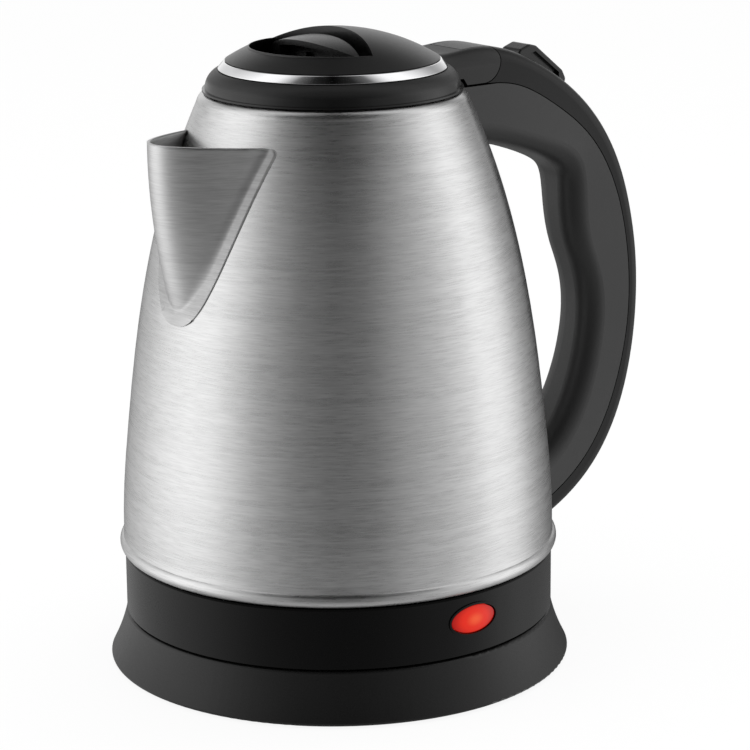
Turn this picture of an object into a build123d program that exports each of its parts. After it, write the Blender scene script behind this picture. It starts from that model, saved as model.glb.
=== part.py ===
from build123d import *
from math import acos, atan2, cos, hypot, radians, sin, sqrt, tan
import os

# Cordless electric kettle. Millimetres. The origin is on the kettle axis at table level:
# +Z up, handle towards +X, spout towards -X, pilot lamp at -Y.

# Clearances
run_gap = 0.3          # between pieces that move against each other
seat_gap = 0.05        # between pieces that are fixed to each other
seam_gap = 0.35        # open split lines between mouldings that show
pin_gap = 0.05         # round a hinge pin or trunnion
slot_gap = 0.5         # beside the latch's legs and bolt
edge_break = 0.5       # small bevels on mouldings
overcut = 1.0          # how far a cutting shape runs past a face
far = 400.0            # longer than the kettle, for cutting slabs

# Steel body: radii, and heights above the rolled bead
body_wall = 0.8
body_foot_radius = 72.6
body_low_radius = 70.3
body_mid_radius = 65.9
body_high_radius = 59.3
body_throat_radius = 52.4
neck_stand_out = 1.9   # neck against the lid
body_foot_rise = 2.55
body_low_rise = 36.55
body_mid_rise = 71.55
body_high_rise = 104.55
body_throat_rise = 127.55
body_neck_rise = 146.55
neck_slope = 0.43      # how fast the side runs in at the neck
bead_height = 4.2
bead_stand_out = 1.4
bead_round = 1.0
crease_stand_out = 0.2
hem_width = 3.0
rim_rise = 3.0         # rounded shoulder above the neck
rim_round = 0.6
rim_bulge = 0.35
shoulder_share = 0.3   # where the rounded shoulder is fullest
rim_width = 2.4
steam_hole_radius = 4.0
steam_hole_drop = 9.0

# Bottom housing of the kettle
housing_set_in = 0.3   # housing against the body's foot
housing_height = 20.5
housing_wall = 2.5
housing_floor_rise = 1.4
housing_floor = 2.2
housing_lip = 1.0
housing_lip_width = 2.5
housing_lip_inset = 0.2
housing_lip_root = 1.5
housing_boss_height = 5.0
housing_screw_inset = 14.3
screw_end_gap = 10.0
well_wall = 2.0
lamp_half_width = 9.2
lamp_half_height = 4.75
lamp_rise = 12.0       # lamp centre above the housing's lower edge
lamp_bulge = 0.7
lamp_rim = 0.8
lamp_rim_proud = 0.4
neon_radius = 2.6
neon_length = 13.0
neon_gap = 0.5
holder_depth = 3.0
holder_inset = 2.0
holder_drop = 0.4

# Power base
base_flare_stand_out = 5.7   # foot of the base against the housing
base_flare_width = 5.4       # foot of the base against its deck
base_waist_draw = 0.5        # hollow of the flare
base_height = 17.4
base_wall = 2.2
base_edge = 1.2        # rounding of the deck edge and of the lower rim
foot_height = 0.8
foot_radius = 6.0
foot_sink = 1.0
foot_inset = 16.0
base_plate_thickness = 2.0
base_hub_gap = 4.0
base_boss_radius = 3.6
base_screw_inset = 28.0
base_screw_bite = 6.0
screw_radius = 1.2
screw_head_radius = 2.6
screw_head_height = 1.4
inlet_height = 9.0
inlet_radius = 4.2
inlet_flange_radius = 5.2
inlet_bore_radius = 3.3
inlet_length = 9.0
inlet_stand_out = 0.6

# Round connector between the base and the kettle
socket_radius = 19.0
socket_rise = 14.0
socket_flange = 3.0
socket_floor = 2.0
slot_inner_radius = 9.5
slot_outer_radius = 13.0
earth_hole_radius = 3.5
contact_wall = 0.4
blade_wall = 1.6
earth_pin_radius = 2.7
coupler_radius = 22.5
coupler_skirt_wall = 2.4
coupler_plate = 3.4
contact_reach = 10.0

# Heater under the water
plate_thickness = 1.2
element_inset = 26.6
element_tube_radius = 4.0
element_gap_angle = 40.0
terminal_radius = 1.6
terminal_length = 8.0
terminal_share = 0.02
control_length = 44.0
control_width = 34.0
control_corner = 6.0
bimetal_radius = 7.0
bimetal_height = 1.6
bimetal_inset = 3.0

# Spout: front view is a round-footed V, its half width falls with a power of the height
spout_wall = 1.0
spout_drop = 11.0      # spout top below the steel rim
spout_height = 54.0
spout_half_width = 22.6
spout_power = 0.48
spout_projection = 25.2
spout_foot_projection = 0.2
spout_tip_lift = 1.1   # nose of the rim above the level of the spout's top
spout_end_drop = 0.5   # ends of the rim below that level
spout_nose_radius = 4.0
spout_nose_growth = 6.0      # how much rounder the nose is at the foot
spout_nose_share = 0.8       # largest nose, as a share of the circle through nose and joints
spout_side_turn = 8.0        # degrees by which the sides curve at the top
spout_side_thinning = 1.3    # how much more the channel is drawn in at the sides than at the nose
spout_run_on = 1.35          # how far the sides run on into the body
spout_levels = (0.25, 0.5, 0.72, 0.88)   # where the spout's plan is drawn, from its top down
spout_low_end = 0.985
channel_low_end = 0.93
outline_steps = 8
outline_crowding = 1.5       # points of an outline crowd towards its foot
flange_half_width = 26.2
flange_drop = 4.4      # flange foot below the spout's foot
flange_power = 0.38
flange_thickness = 0.8
flange_corner = 2.5
window_margin = 1.6
window_drop = 10.0
filter_drop = 8.0
filter_thickness = 0.8
filter_margin = 2.0
filter_hole_radius = 1.1
filter_pitch = 4.0

# Filler mouth
collar_wall = 2.2
collar_depth = 10.0
collar_flange = 0.6
collar_flange_width = 0.6

# Lid
lid_radius = 42.9
lid_gap = 0.4          # dark line between the steel rim and the lid
lid_wall = 1.8
rim_set_in = 0.3       # steel rim against the lid
lip_height = 0.6       # dark edge under the lid's shoulder
lip_stand_out = 0.9
shoulder_bulge = 0.8
trim_foot_inset = 5.0
trim_foot_height = 6.9
trim_top_inset = 7.5
trim_height = 2.9
trim_wall = 1.2
dome_height = 10.2
dome_line = 0.15       # dark line between trim ring and dome
cap_wall = 1.8
platform_wall = 1.8
platform_width = 5.2
seal_thickness = 1.0
seal_width = 2.3
liner_wall = 1.5
liner_inset = 5.1
liner_depth = 6.0
liner_flange = 1.1
liner_flange_step = 0.8   # liner's flange against the lid's skirt
lid_boss_radius = 3.0
lid_boss_x = 16.0
lid_boss_y = 18.5
lid_boss_shift = 4.0
lid_screw_bite = 8.0

# Finger recess in the lid and its latch
recess_inset = 7.9     # recess against the trim ring's top
recess_corner_x = -4.4
recess_far_x = 2.5
recess_wall = 1.5
latch_travel = 3.5
latch_rear_gap = 4.6
latch_bar_width = 10.0
latch_tip_x = -6.8
latch_tip_inset = 3.2
latch_sink = 2.2
latch_hood = 1.8
latch_scoop_half = 16.0
latch_leg_x = 2.6
latch_leg_y = 5.0
latch_leg_spread = 9.0
latch_leg_inset = 1.2
latch_leg_bite = 3.0
slider_thickness = 1.8
slider_drop = 1.0
slider_half_width = 12.5
slider_inset = 10.6    # slider's front end against the mouth
slider_back = 5.0
bolt_half_width = 4.0
bolt_thickness = 3.0
bolt_arm = 2.5
rail_width = 2.0
rail_inset = 2.0
rail_set_back = 6.0
spring_radius = 2.0
spring_wire_radius = 0.35
spring_length = 9.0
spring_turns = 5
spring_post = 2.0
spring_post_half = 4.0

# Lid hinge
hinge_reach = 10.9     # hinge axis behind the lid's edge
hinge_rise = 5.2       # hinge axis above the steel rim
barrel_radius = 7.2
barrel_relief = 0.1
tongue_half_width = 8.0
pin_radius = 1.6
pin_half_length = 12.0
cheek_gap = 1.6        # cheek's underside against the steel neck

# Handle: stations from the lid round to the bottom housing. Each gives its outer point and its inner
# point from an anchor, its half width and the depth of the outer cover. The anchors are the hinge axis,
# the body's middle and the bead, the last two at the radius of the body's foot.
handle_wall = 2.2
handle_outer_round = 4.5
handle_inner_round = 7.5
top_stations = [
    ((-19.8, 4.7), (-19.8, -26.2), 13.0, 11.8),
    ((-5.8, 4.2), (-5.8, -27.2), 13.0, 11.5),
    ((12.2, 2.8), (14.2, -31.4), 12.8, 11.4),
    ((32.2, -6.3), (30.7, -37.0), 12.2, 11.0),
    ((55.2, -25.2), (40.0, -43.0), 11.2, 7.9),
]
middle_stations = [
    ((49.8, 35.0), (23.0, 31.4), 10.4, 6.6),
    ((55.8, 12.0), (26.4, 12.4), 10.0, 6.0),
    ((57.0, -1.5), (31.0, -0.4), 10.0, 5.8),
    ((56.8, -14.0), (32.2, -12.4), 10.0, 5.8),
    ((51.7, -40.8), (27.4, -35.0), 10.4, 6.8),
]
low_stations = [
    ((37.6, 5.7), (17.4, 19.5), 11.2, 7.3),
    ((17.4, -9.1), (7.4, 12.1), 12.0, 7.0),
    ((-6.6, -15.9), (-6.6, 9.1), 12.4, 7.0),
]
bracket_thickness = 1.2
bracket_half_width = 7.0
bracket_reach = 14.0
bracket_screw_inset = 4.5
upper_tab_drop = 14.0
upper_plate_height = 12.0
lower_plate_height = 5.0
lower_tab_sink = 0.6
handle_post_radius = 3.4
handle_post_length = 12.0
upper_screw_length = 8.0
lower_screw_length = 6.0

# On and off rocker in the handle cover, points from the hinge axis
rocker_half_width = 4.8
rocker_travel = 10.0
rocker_pivot_step = (32.7, -11.8)
rocker_front = (22.0, 0.6)
rocker_crest = (27.2, 2.4)
rocker_brow = (30.2, 1.6)
rocker_heel = (42.2, -8.0)
rocker_tail = (44.0, -11.5)
rocker_keel_rear = (40.0, -16.2)
rocker_keel_front = (22.5, -6.2)
rocker_round = 2.0
rocker_edge = 0.7
rocker_roof = 1.8
rocker_hollow = 1.6
trunnion_radius = 1.8
trunnion_reach = 2.8
trunnion_slack = 0.4

# Steam switch and its leads in the handle
switch_step = 19.2     # switch behind the hinge axis
switch_drop = 32.0     # switch foot below the steel rim
switch_length = 12.0
switch_height = 15.0
switch_half_width = 9.0
lead_radius = 1.7
lead_bend = 8.0
lead_drop = 22.0       # leads leave the switch this far below the rim
lead_run = 8.0
lead_hole_rise = 16.6
lead_port_length = 24.0
lead_entry = (9.7, 2.0)
lead_mouth = 3.7
lead_inside = 8.0

# Radii and levels worked out from the sizes above
housing_radius = body_foot_radius - housing_set_in
bead_radius = body_foot_radius + bead_stand_out
crease_radius = body_foot_radius + crease_stand_out
base_flare_radius = housing_radius + base_flare_stand_out
base_top_radius = base_flare_radius - base_flare_width
base_screw_circle = base_flare_radius - base_screw_inset
foot_circle = base_flare_radius - foot_inset
housing_screw_circle = housing_radius - housing_screw_inset
element_radius = body_foot_radius - element_inset
body_neck_radius = lid_radius + neck_stand_out
rim_outer_radius = lid_radius - rim_set_in
mouth_radius = rim_outer_radius - rim_width
trim_foot_radius = lid_radius - trim_foot_inset
trim_top_radius = lid_radius - trim_top_inset
recess_radius = trim_top_radius - recess_inset
liner_radius = mouth_radius - liner_inset
slider_front = mouth_radius - slider_inset
deck_under = base_height - base_wall
socket_top = base_height + socket_rise
housing_bottom = base_height + run_gap
housing_top = housing_bottom + housing_height
floor_bottom = housing_bottom + housing_floor_rise
floor_top = floor_bottom + housing_floor
hem_bottom = housing_top + housing_lip + seat_gap
bead_mid = hem_bottom + 0.5 * bead_height
bead_top = hem_bottom + bead_height
body_foot_height = bead_top + body_foot_rise
body_mid_height = bead_top + body_mid_rise
body_neck_height = bead_top + body_neck_rise
coupler_bottom = socket_top + 2 * run_gap
coupler_top = coupler_bottom + coupler_plate
plate_bottom = bead_top - plate_thickness
control_bottom = coupler_top + run_gap
rim_height = body_neck_height + rim_rise
spout_top = rim_height - spout_drop
spout_foot = spout_top - spout_height
lid_bottom = rim_height + lid_gap
lamp_height = housing_bottom + lamp_rise
lamp_room = lamp_half_height + lamp_rim + overcut
platform_top = lid_bottom + trim_foot_height
platform_bottom = platform_top - platform_wall
dome_foot = platform_top + trim_height
dome_top = dome_foot + dome_height
collar_top = rim_height + seat_gap + collar_flange
seal_bottom = collar_top + run_gap
seal_top = seal_bottom + seal_thickness
liner_bottom = rim_height - liner_depth
recess_floor = platform_top + seat_gap + recess_wall
hinge_x = lid_radius + hinge_reach
hinge_z = rim_height + hinge_rise
slider_bottom = platform_bottom - slider_thickness - slider_drop
seam_level = hinge_z - barrel_radius - run_gap
switch_x = hinge_x + switch_step
lead_level = housing_bottom + lead_hole_rise
rocker_pivot = (hinge_x + rocker_pivot_step[0], hinge_z + rocker_pivot_step[1])


def from_anchor(anchor, stations):
    """Handle stations with their outer and inner points moved from an anchor to the kettle's frame."""
    x, z = anchor
    return [
        ((x + outer[0], z + outer[1]), (x + inner[0], z + inner[1]), half, depth)
        for outer, inner, half, depth in stations
    ]


handle_stations = (
    from_anchor((hinge_x, hinge_z), top_stations)
    + from_anchor((body_foot_radius, body_mid_height), middle_stations)
    + from_anchor((body_foot_radius, bead_top), low_stations)
)


# Building blocks

def turned(edges):
    """Solid of revolution about the kettle axis from a closed outline of edges in the XZ plane."""
    return revolve(make_face(edges), axis=Axis.Z)


def turned_points(points):
    """Solid of revolution from a closed outline of straight runs, points as (radius, height)."""
    return turned(Polyline([(r, 0, z) for r, z in points], close=True))


def round_corner(start, end, centre):
    """Arc in the XZ plane from start to end about a centre, points as (radius, height)."""
    radius = hypot(start[0] - centre[0], start[1] - centre[1])
    half_way = (0.5 * (start[0] + end[0]) - centre[0], 0.5 * (start[1] + end[1]) - centre[1])
    scale = radius / hypot(*half_way)
    middle = (centre[0] + scale * half_way[0], 0, centre[1] + scale * half_way[1])
    return ThreePointArc((start[0], 0, start[1]), middle, (end[0], 0, end[1]))


def tube(outer_radius, inner_radius, low, high):
    """Upright ring, or a disc when the inner radius is 0."""
    middle = Pos(0, 0, 0.5 * (low + high))
    solid = middle * Cylinder(outer_radius, high - low)
    if inner_radius > 0:
        solid -= middle * Cylinder(inner_radius, high - low)
    return solid


def post(x, y, radius, low, high):
    """Upright round post."""
    return Pos(x, y, 0) * tube(radius, 0, low, high)


def block(x_range, y_range, z_range):
    """Box from three (low, high) ranges."""
    size = [high - low for low, high in (x_range, y_range, z_range)]
    middle = [0.5 * (high + low) for low, high in (x_range, y_range, z_range)]
    return Pos(*middle) * Box(*size)


def cross_rod(x, z, radius, half_length):
    """Round rod along Y."""
    return Pos(x, 0, z) * Rot(90, 0, 0) * Cylinder(radius, 2 * half_length)


def side_slab(edges, half_width):
    """Slab between -half_width and +half_width in Y, with a closed outline of edges in the XZ plane."""
    return extrude(make_face(edges), amount=half_width, dir=(0, 1, 0), both=True)


def side_points(points, half_width):
    """Slab in Y from a closed outline of straight runs, points as (x, z)."""
    return side_slab(Polyline([(x, 0, z) for x, z in points], close=True), half_width)


def screw(x, y, head_low, shank_length):
    """Upright screw, head below."""
    head = post(x, y, screw_head_radius, head_low, head_low + screw_head_height)
    return head + post(x, y, screw_radius, head_low, head_low + screw_head_height + shank_length)


def around(count, radius, start_angle):
    """Points evenly spaced on a circle round the axis."""
    return [(place.position.X, place.position.Y) for place in PolarLocations(radius, count, start_angle)]


# Body profile, used by everything that fits on or in the steel

body_points = [
    (body_foot_radius, body_foot_height),
    (body_low_radius, bead_top + body_low_rise),
    (body_mid_radius, body_mid_height),
    (body_high_radius, bead_top + body_high_rise),
    (body_throat_radius, bead_top + body_throat_rise),
    (body_neck_radius, body_neck_height),
]


def body_curve(grow):
    """Side of the steel body from foot to neck, moved outwards by grow."""
    points = [(r + grow, 0, z) for r, z in body_points]
    return Spline(points, tangents=[(0, 0, 1), (-neck_slope, 0, 1)])


side_line = body_curve(0)


def radius_on(line, height):
    """Radius of a rising line in the XZ plane at a height, found by halving along it."""
    low, high = 0.0, 1.0
    for _ in range(40):
        middle = 0.5 * (low + high)
        if line.position_at(middle).Z < height:
            low = middle
        else:
            high = middle
    return line.position_at(low).X


def body_radius(height):
    """Outer radius of the steel body at a height."""
    return radius_on(side_line, height)


def body_envelope(grow):
    """Solid of everything inside the kettle's outer skin, from the housing to the rim, moved out by grow."""
    bead = bead_radius + grow
    edges = [
        body_curve(grow),
        Polyline([
            (body_neck_radius + grow, 0, body_neck_height),
            (rim_outer_radius + grow, 0, rim_height + grow),
            (0, 0, rim_height + grow),
            (0, 0, housing_bottom - overcut),
            (housing_radius + grow, 0, housing_bottom - overcut),
            (housing_radius + grow, 0, hem_bottom - grow),
            (bead, 0, hem_bottom - grow),
            (bead, 0, bead_top + grow),
            (crease_radius + grow, 0, bead_top + grow),
            (body_foot_radius + grow, 0, body_foot_height),
        ]),
    ]
    return turned(edges)


def body_skin(inner, outer):
    """Thin layer that follows the body's side between two offsets from it."""
    inner_line = body_curve(inner)
    outer_line = body_curve(outer)
    top = Line(inner_line @ 1, outer_line @ 1)
    foot = Line(inner_line @ 0, outer_line @ 0)
    return turned([inner_line, top, outer_line, foot])


# Power base

def skirt_line(inset):
    """Flared side of the base, from its rim up to the deck edge, moved inwards by inset."""
    low = (base_flare_radius - inset, foot_height + base_edge)
    high = (base_top_radius - inset, base_height - base_edge)
    waist = (0.5 * (low[0] + high[0]) - base_waist_draw, 0.5 * (low[1] + high[1]))
    return ThreePointArc((low[0], 0, low[1]), (waist[0], 0, waist[1]), (high[0], 0, high[1]))


def make_base_skirt():
    hole = socket_radius + seat_gap
    edges = [
        skirt_line(0),
        round_corner(
            (base_top_radius, base_height - base_edge), (base_top_radius - base_edge, base_height),
            (base_top_radius - base_edge, base_height - base_edge)),
        Polyline([
            (base_top_radius - base_edge, 0, base_height),
            (hole, 0, base_height),
            (hole, 0, deck_under),
            (base_top_radius - base_wall, 0, deck_under),
            (base_top_radius - base_wall, 0, base_height - base_edge),
        ]),
        skirt_line(base_wall),
        Polyline([
            (base_flare_radius - base_wall, 0, foot_height + base_edge),
            (base_flare_radius - base_wall, 0, foot_height),
            (base_flare_radius - base_edge, 0, foot_height),
        ]),
        round_corner(
            (base_flare_radius - base_edge, foot_height), (base_flare_radius, foot_height + base_edge),
            (base_flare_radius - base_edge, foot_height + base_edge)),
    ]
    skirt = turned(edges)
    boss_bottom = foot_height + base_plate_thickness + seat_gap
    for x, y in around(3, base_screw_circle, 90):
        skirt += post(x, y, base_boss_radius, boss_bottom, deck_under)
        skirt -= post(x, y, screw_radius + seat_gap, boss_bottom, deck_under)
    hole_length = base_flare_radius
    inlet = Pos(0, 0, inlet_height) * Rot(0, 90, 0) * Cylinder(
        inlet_radius + seat_gap, hole_length, align=(Align.CENTER, Align.CENTER, Align.MIN))
    hole_start = base_screw_circle + base_boss_radius + overcut
    reach = block((hole_start, hole_length), (-hole_length, hole_length), (0, base_height))
    return skirt - (inlet & reach)


def make_base_plate():
    radius = base_flare_radius - base_wall - seat_gap
    top = foot_height + base_plate_thickness
    plate = turned_points([
        (0, foot_height),
        (radius, foot_height),
        (radius, foot_height + 0.5 * base_plate_thickness),
        (radius - base_plate_thickness, top),
        (0, top),
    ])
    hub = socket_radius + socket_flange + base_hub_gap
    plate += tube(hub, hub - base_plate_thickness, top, deck_under - base_hub_gap)
    for x, y in around(4, foot_circle, 45):
        plate -= post(x, y, foot_radius + seat_gap, foot_height, foot_height + foot_sink)
    for x, y in around(3, base_screw_circle, 90):
        plate -= post(x, y, screw_head_radius + seat_gap, foot_height, foot_height + screw_head_height)
        plate -= post(x, y, screw_radius + seat_gap, foot_height, foot_height + base_plate_thickness)
    return plate


def make_base_feet():
    top = foot_height + foot_sink - seat_gap
    return [post(x, y, foot_radius, 0, top) for x, y in around(4, foot_circle, 45)]


def make_base_screws():
    shank = base_plate_thickness + base_screw_bite
    head_low = foot_height - seat_gap
    return [screw(x, y, head_low, shank) for x, y in around(3, base_screw_circle, 90)]


def make_base_socket():
    flange_top = deck_under - seat_gap
    socket = tube(socket_radius, 0, flange_top - socket_floor, socket_top)
    socket += tube(socket_radius + socket_flange, 0, flange_top - socket_floor, flange_top)
    slot_floor = base_height + socket_floor
    socket -= tube(slot_outer_radius, slot_inner_radius, slot_floor, socket_top)
    socket -= tube(earth_hole_radius, 0, slot_floor, socket_top)
    return socket


def make_socket_contacts():
    low = base_height + socket_floor + seat_gap
    high = socket_top - socket_floor
    ring = slot_outer_radius - seat_gap
    earth = earth_hole_radius - seat_gap
    return [tube(ring, ring - contact_wall, low, high), tube(earth, earth - contact_wall, low, high)]


def make_cord_inlet_bush():
    outer_end = radius_on(skirt_line(0), inlet_height) + inlet_stand_out
    inner_end = outer_end - inlet_length
    bush = Cylinder(inlet_radius, inlet_length, align=(Align.CENTER, Align.CENTER, Align.MIN))
    bush += Cylinder(inlet_flange_radius, base_wall, align=(Align.CENTER, Align.CENTER, Align.MIN))
    bush -= Cylinder(inlet_bore_radius, inlet_length, align=(Align.CENTER, Align.CENTER, Align.MIN))
    return Pos(inner_end, 0, inlet_height) * Rot(0, 90, 0) * bush


# Connector half that lifts with the kettle

def make_coupler_housing():
    skirt_low = base_height + run_gap + socket_floor
    inner = coupler_radius - coupler_skirt_wall
    housing = tube(coupler_radius, earth_pin_radius + seat_gap, coupler_bottom, coupler_top)
    return housing + tube(coupler_radius, inner, skirt_low, coupler_bottom)


def make_coupler_contacts():
    blade_outer = slot_outer_radius - seat_gap - contact_wall - run_gap
    low = coupler_bottom - contact_reach
    blade = tube(blade_outer, blade_outer - blade_wall, low, coupler_bottom - seat_gap)
    pin = tube(earth_pin_radius, 0, low, coupler_top)
    return [blade, pin]


# Bottom housing, lamp and heater

def lamp_oval(grow):
    """Oval slab through the housing wall at -Y, larger than the lens by grow."""
    flat = Plane.XZ * Ellipse(lamp_half_width + grow, lamp_half_height + grow)
    return Pos(0, 0, lamp_height) * extrude(flat, amount=housing_radius + lamp_bulge + overcut)


def make_bottom_housing():
    wall = housing_radius - housing_wall
    well = coupler_radius + 2 * run_gap
    lip = wall - housing_lip_inset
    housing = turned_points([
        (housing_radius, housing_bottom + edge_break),
        (housing_radius, housing_top - edge_break),
        (housing_radius - edge_break, housing_top),
        (lip, housing_top),
        (lip, housing_top + housing_lip),
        (lip - housing_lip_width, housing_top + housing_lip),
        (lip - housing_lip_width, housing_top - housing_lip_root),
        (wall, housing_top - housing_lip_root),
        (wall, floor_top),
        (well + well_wall, floor_top),
        (well + well_wall, coupler_bottom),
        (well, coupler_bottom),
        (well, floor_bottom),
        (wall, floor_bottom),
        (wall, housing_bottom),
        (housing_radius - edge_break, housing_bottom),
    ])
    rim_ring = tube(housing_radius + lamp_rim_proud, wall, lamp_height - lamp_room, lamp_height + lamp_room)
    housing += rim_ring & (lamp_oval(lamp_rim) - lamp_oval(0))
    housing -= lamp_oval(seat_gap)
    for x, y in around(3, housing_screw_circle, 90):
        housing += post(x, y, base_boss_radius, floor_top, floor_top + housing_boss_height)
        housing -= post(x, y, screw_head_radius + seat_gap, floor_bottom, floor_bottom + screw_head_height)
        housing -= post(x, y, screw_radius + seat_gap, floor_bottom, floor_top + housing_boss_height)
    return housing - lead_port()


def lead_port():
    """Hole for the switch leads between the handle foot and the housing."""
    port = Cylinder(lead_radius + run_gap, lead_port_length)
    return Pos(housing_radius, 0, lead_level) * Rot(0, 90, 0) * port


def make_housing_screws():
    shank = plate_bottom - floor_bottom - screw_end_gap
    return [screw(x, y, floor_bottom - seat_gap, shank) for x, y in around(3, housing_screw_circle, 90)]


def make_lamp_lens():
    inner = housing_radius - housing_wall
    ring = tube(housing_radius + lamp_bulge, inner, lamp_height - lamp_room, lamp_height + lamp_room)
    return ring & lamp_oval(0)


def lamp_back():
    """Y of the face of the lens that looks into the housing, at the middle of the lens."""
    return -(housing_radius - housing_wall)


def make_pilot_lamp():
    y = lamp_back() + neon_radius + neon_gap
    return Pos(0, y, lamp_height) * Rot(0, 90, 0) * Cylinder(neon_radius, neon_length)


def make_lamp_holder():
    front = lamp_back() + neon_radius + neon_gap
    half = 0.5 * neon_length - holder_inset
    top = lamp_height + neon_radius - holder_drop
    holder = block((-half, half), (front, front + neon_radius + holder_depth), (floor_top + seat_gap, top))
    cradle = Pos(0, front, lamp_height) * Rot(0, 90, 0) * Cylinder(neon_radius + seat_gap, neon_length)
    return holder - cradle


def make_heating_plate():
    radius = body_foot_radius - body_wall - seat_gap
    inner = radius - plate_thickness
    rim_low = hem_bottom + body_wall + seat_gap
    return tube(radius, 0, plate_bottom, bead_top) + tube(radius, inner, rim_low, plate_bottom)


def make_heating_element():
    level = plate_bottom - seat_gap - element_tube_radius
    start = 180 + 0.5 * element_gap_angle
    ring = CenterArc((0, 0, level), element_radius, start, 360 - element_gap_angle)
    section = Plane(origin=ring @ 0, z_dir=ring % 0) * Circle(element_tube_radius)
    element = sweep(section, path=ring)
    for end in (ring @ terminal_share, ring @ (1 - terminal_share)):
        element += post(end.X, end.Y, terminal_radius, level - terminal_length, level)
    return element


def make_control_thermostat():
    top = plate_bottom - seat_gap - bimetal_height
    flat = RectangleRounded(control_length, control_width, control_corner)
    control = Pos(0, 0, control_bottom) * extrude(flat, amount=top - control_bottom)
    for side in (-1, 1):
        x = side * (0.5 * control_length - bimetal_radius - bimetal_inset)
        control += post(x, 0, bimetal_radius, top, top + bimetal_height)
    return control


# Steel body and spout

def make_body_shell():
    hem_inner = body_foot_radius - body_wall - hem_width
    inside = body_foot_radius - body_wall
    neck_inside = body_neck_radius - body_wall
    bead_foot = bead_radius - bead_round
    rim_edge = rim_outer_radius - rim_round
    shoulder_radius = shoulder_share * body_neck_radius + (1 - shoulder_share) * rim_outer_radius + rim_bulge
    edges = [
        Line((hem_inner, 0, hem_bottom), (bead_foot, 0, hem_bottom)),
        ThreePointArc((bead_foot, 0, hem_bottom), (bead_radius, 0, bead_mid), (crease_radius, 0, bead_top)),
        Line((crease_radius, 0, bead_top), (body_foot_radius, 0, body_foot_height)),
        body_curve(0),
        ThreePointArc(
            (body_neck_radius, 0, body_neck_height),
            (shoulder_radius, 0, rim_height - shoulder_share * rim_rise),
            (rim_edge, 0, rim_height)),
        Polyline([
            (rim_edge, 0, rim_height),
            (mouth_radius, 0, rim_height),
            (mouth_radius, 0, rim_height - body_wall),
            (rim_outer_radius - body_wall, 0, rim_height - body_wall),
            (neck_inside, 0, body_neck_height),
        ]),
        body_curve(-body_wall),
        Polyline([
            (inside, 0, body_foot_height),
            (inside, 0, hem_bottom + body_wall),
            (hem_inner, 0, hem_bottom + body_wall),
            (hem_inner, 0, hem_bottom),
        ]),
    ]
    shell = turned(edges)
    shell -= front_slab(window_outline(0, spout_top - window_drop))
    steam = Pos(0, 0, rim_height - steam_hole_drop) * Rot(0, 90, 0) * Cylinder(
        steam_hole_radius, body_foot_radius, align=(Align.CENTER, Align.CENTER, Align.MIN))
    return shell - steam


def spout_half(height):
    """Half width of the spout where it meets the body."""
    return spout_half_width * ((height - spout_foot) / spout_height) ** spout_power


def vee_outline(half_width, foot, power, top, corner):
    """Front view of a V with a round foot: half width grows with a power of the height above the foot."""
    side = []
    for step in range(1, outline_steps + 1):
        height = foot + (top - corner - foot) * (step / outline_steps) ** outline_crowding
        side.append((half_width * ((height - foot) / (spout_top - foot)) ** power, height))
    right = [(0, y, z) for y, z in side]
    left = [(0, -y, z) for y, z in reversed(side)]
    end = side[-1][0]
    edges = [Spline(left + [(0, 0, foot)] + right)]
    if corner:
        bend = corner * (1 - sqrt(0.5))
        edges += [
            ThreePointArc((0, end, top - corner), (0, end - bend, top - bend), (0, end - corner, top)),
            Line((0, end - corner, top), (0, corner - end, top)),
            ThreePointArc((0, corner - end, top), (0, bend - end, top - bend), (0, -end, top - corner)),
        ]
    else:
        edges += [Line((0, end, top), (0, -end, top))]
    return edges


def window_outline(grow, top):
    """Front view of the opening in the body behind the spout, grown all round."""
    margin = window_margin - grow
    return vee_outline(spout_half_width - margin, spout_foot + 2 * margin, spout_power, top, 0)


def front_slab(edges):
    """Slab along -X from the axis outwards, with a closed outline of edges in the YZ plane."""
    return extrude(make_face(edges), amount=body_foot_radius + spout_projection, dir=(-1, 0, 0))


def spout_tip(height):
    """Distance of the spout's nose from the axis: furthest at the top, back at the body at the foot."""
    reach = body_radius(spout_top) + spout_projection
    foot_reach = body_radius(spout_foot) + spout_foot_projection
    part_down = (spout_top - height) / spout_height
    return reach - (reach - foot_reach) * part_down ** 2


def spout_section(height, inset):
    """Plan of the spout at a height: round nose and two slightly full sides that run on into the body."""
    part_down = (spout_top - height) / spout_height
    tip = spout_tip(height) - inset
    half = spout_half(height) - spout_side_thinning * inset
    joint_x = -sqrt(body_radius(height) ** 2 - half ** 2)
    depth = tip + joint_x
    widest = (depth ** 2 + half ** 2) / (2 * depth)
    nose = min(spout_nose_radius + spout_nose_growth * part_down - inset, spout_nose_share * widest)
    centre_x = nose - tip
    reach = hypot(joint_x - centre_x, half)
    turn = atan2(half, joint_x - centre_x) + acos(nose / reach)
    turn += radians(spout_side_turn) * (1 - part_down)
    touch = (centre_x + nose * cos(turn), nose * sin(turn))
    back = (touch[0] + spout_run_on * (joint_x - touch[0]), touch[1] + spout_run_on * (half - touch[1]))
    run = (back[0] - touch[0], back[1] - touch[1])
    lean = atan2(-cos(turn), sin(turn)) - atan2(run[1], run[0])
    full = 0.5 * tan(0.5 * lean)
    side = (touch[0] + 0.5 * run[0] - full * run[1], touch[1] + 0.5 * run[1] + full * run[0])
    edges = [
        ThreePointArc(
            (back[0], -back[1], height), (side[0], -side[1], height), (touch[0], -touch[1], height)),
        ThreePointArc((touch[0], -touch[1], height), (-tip, 0, height), (touch[0], touch[1], height)),
        ThreePointArc((touch[0], touch[1], height), (side[0], side[1], height), (back[0], back[1], height)),
        Line((back[0], back[1], height), (back[0], -back[1], height)),
    ]
    return make_face(edges)


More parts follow.
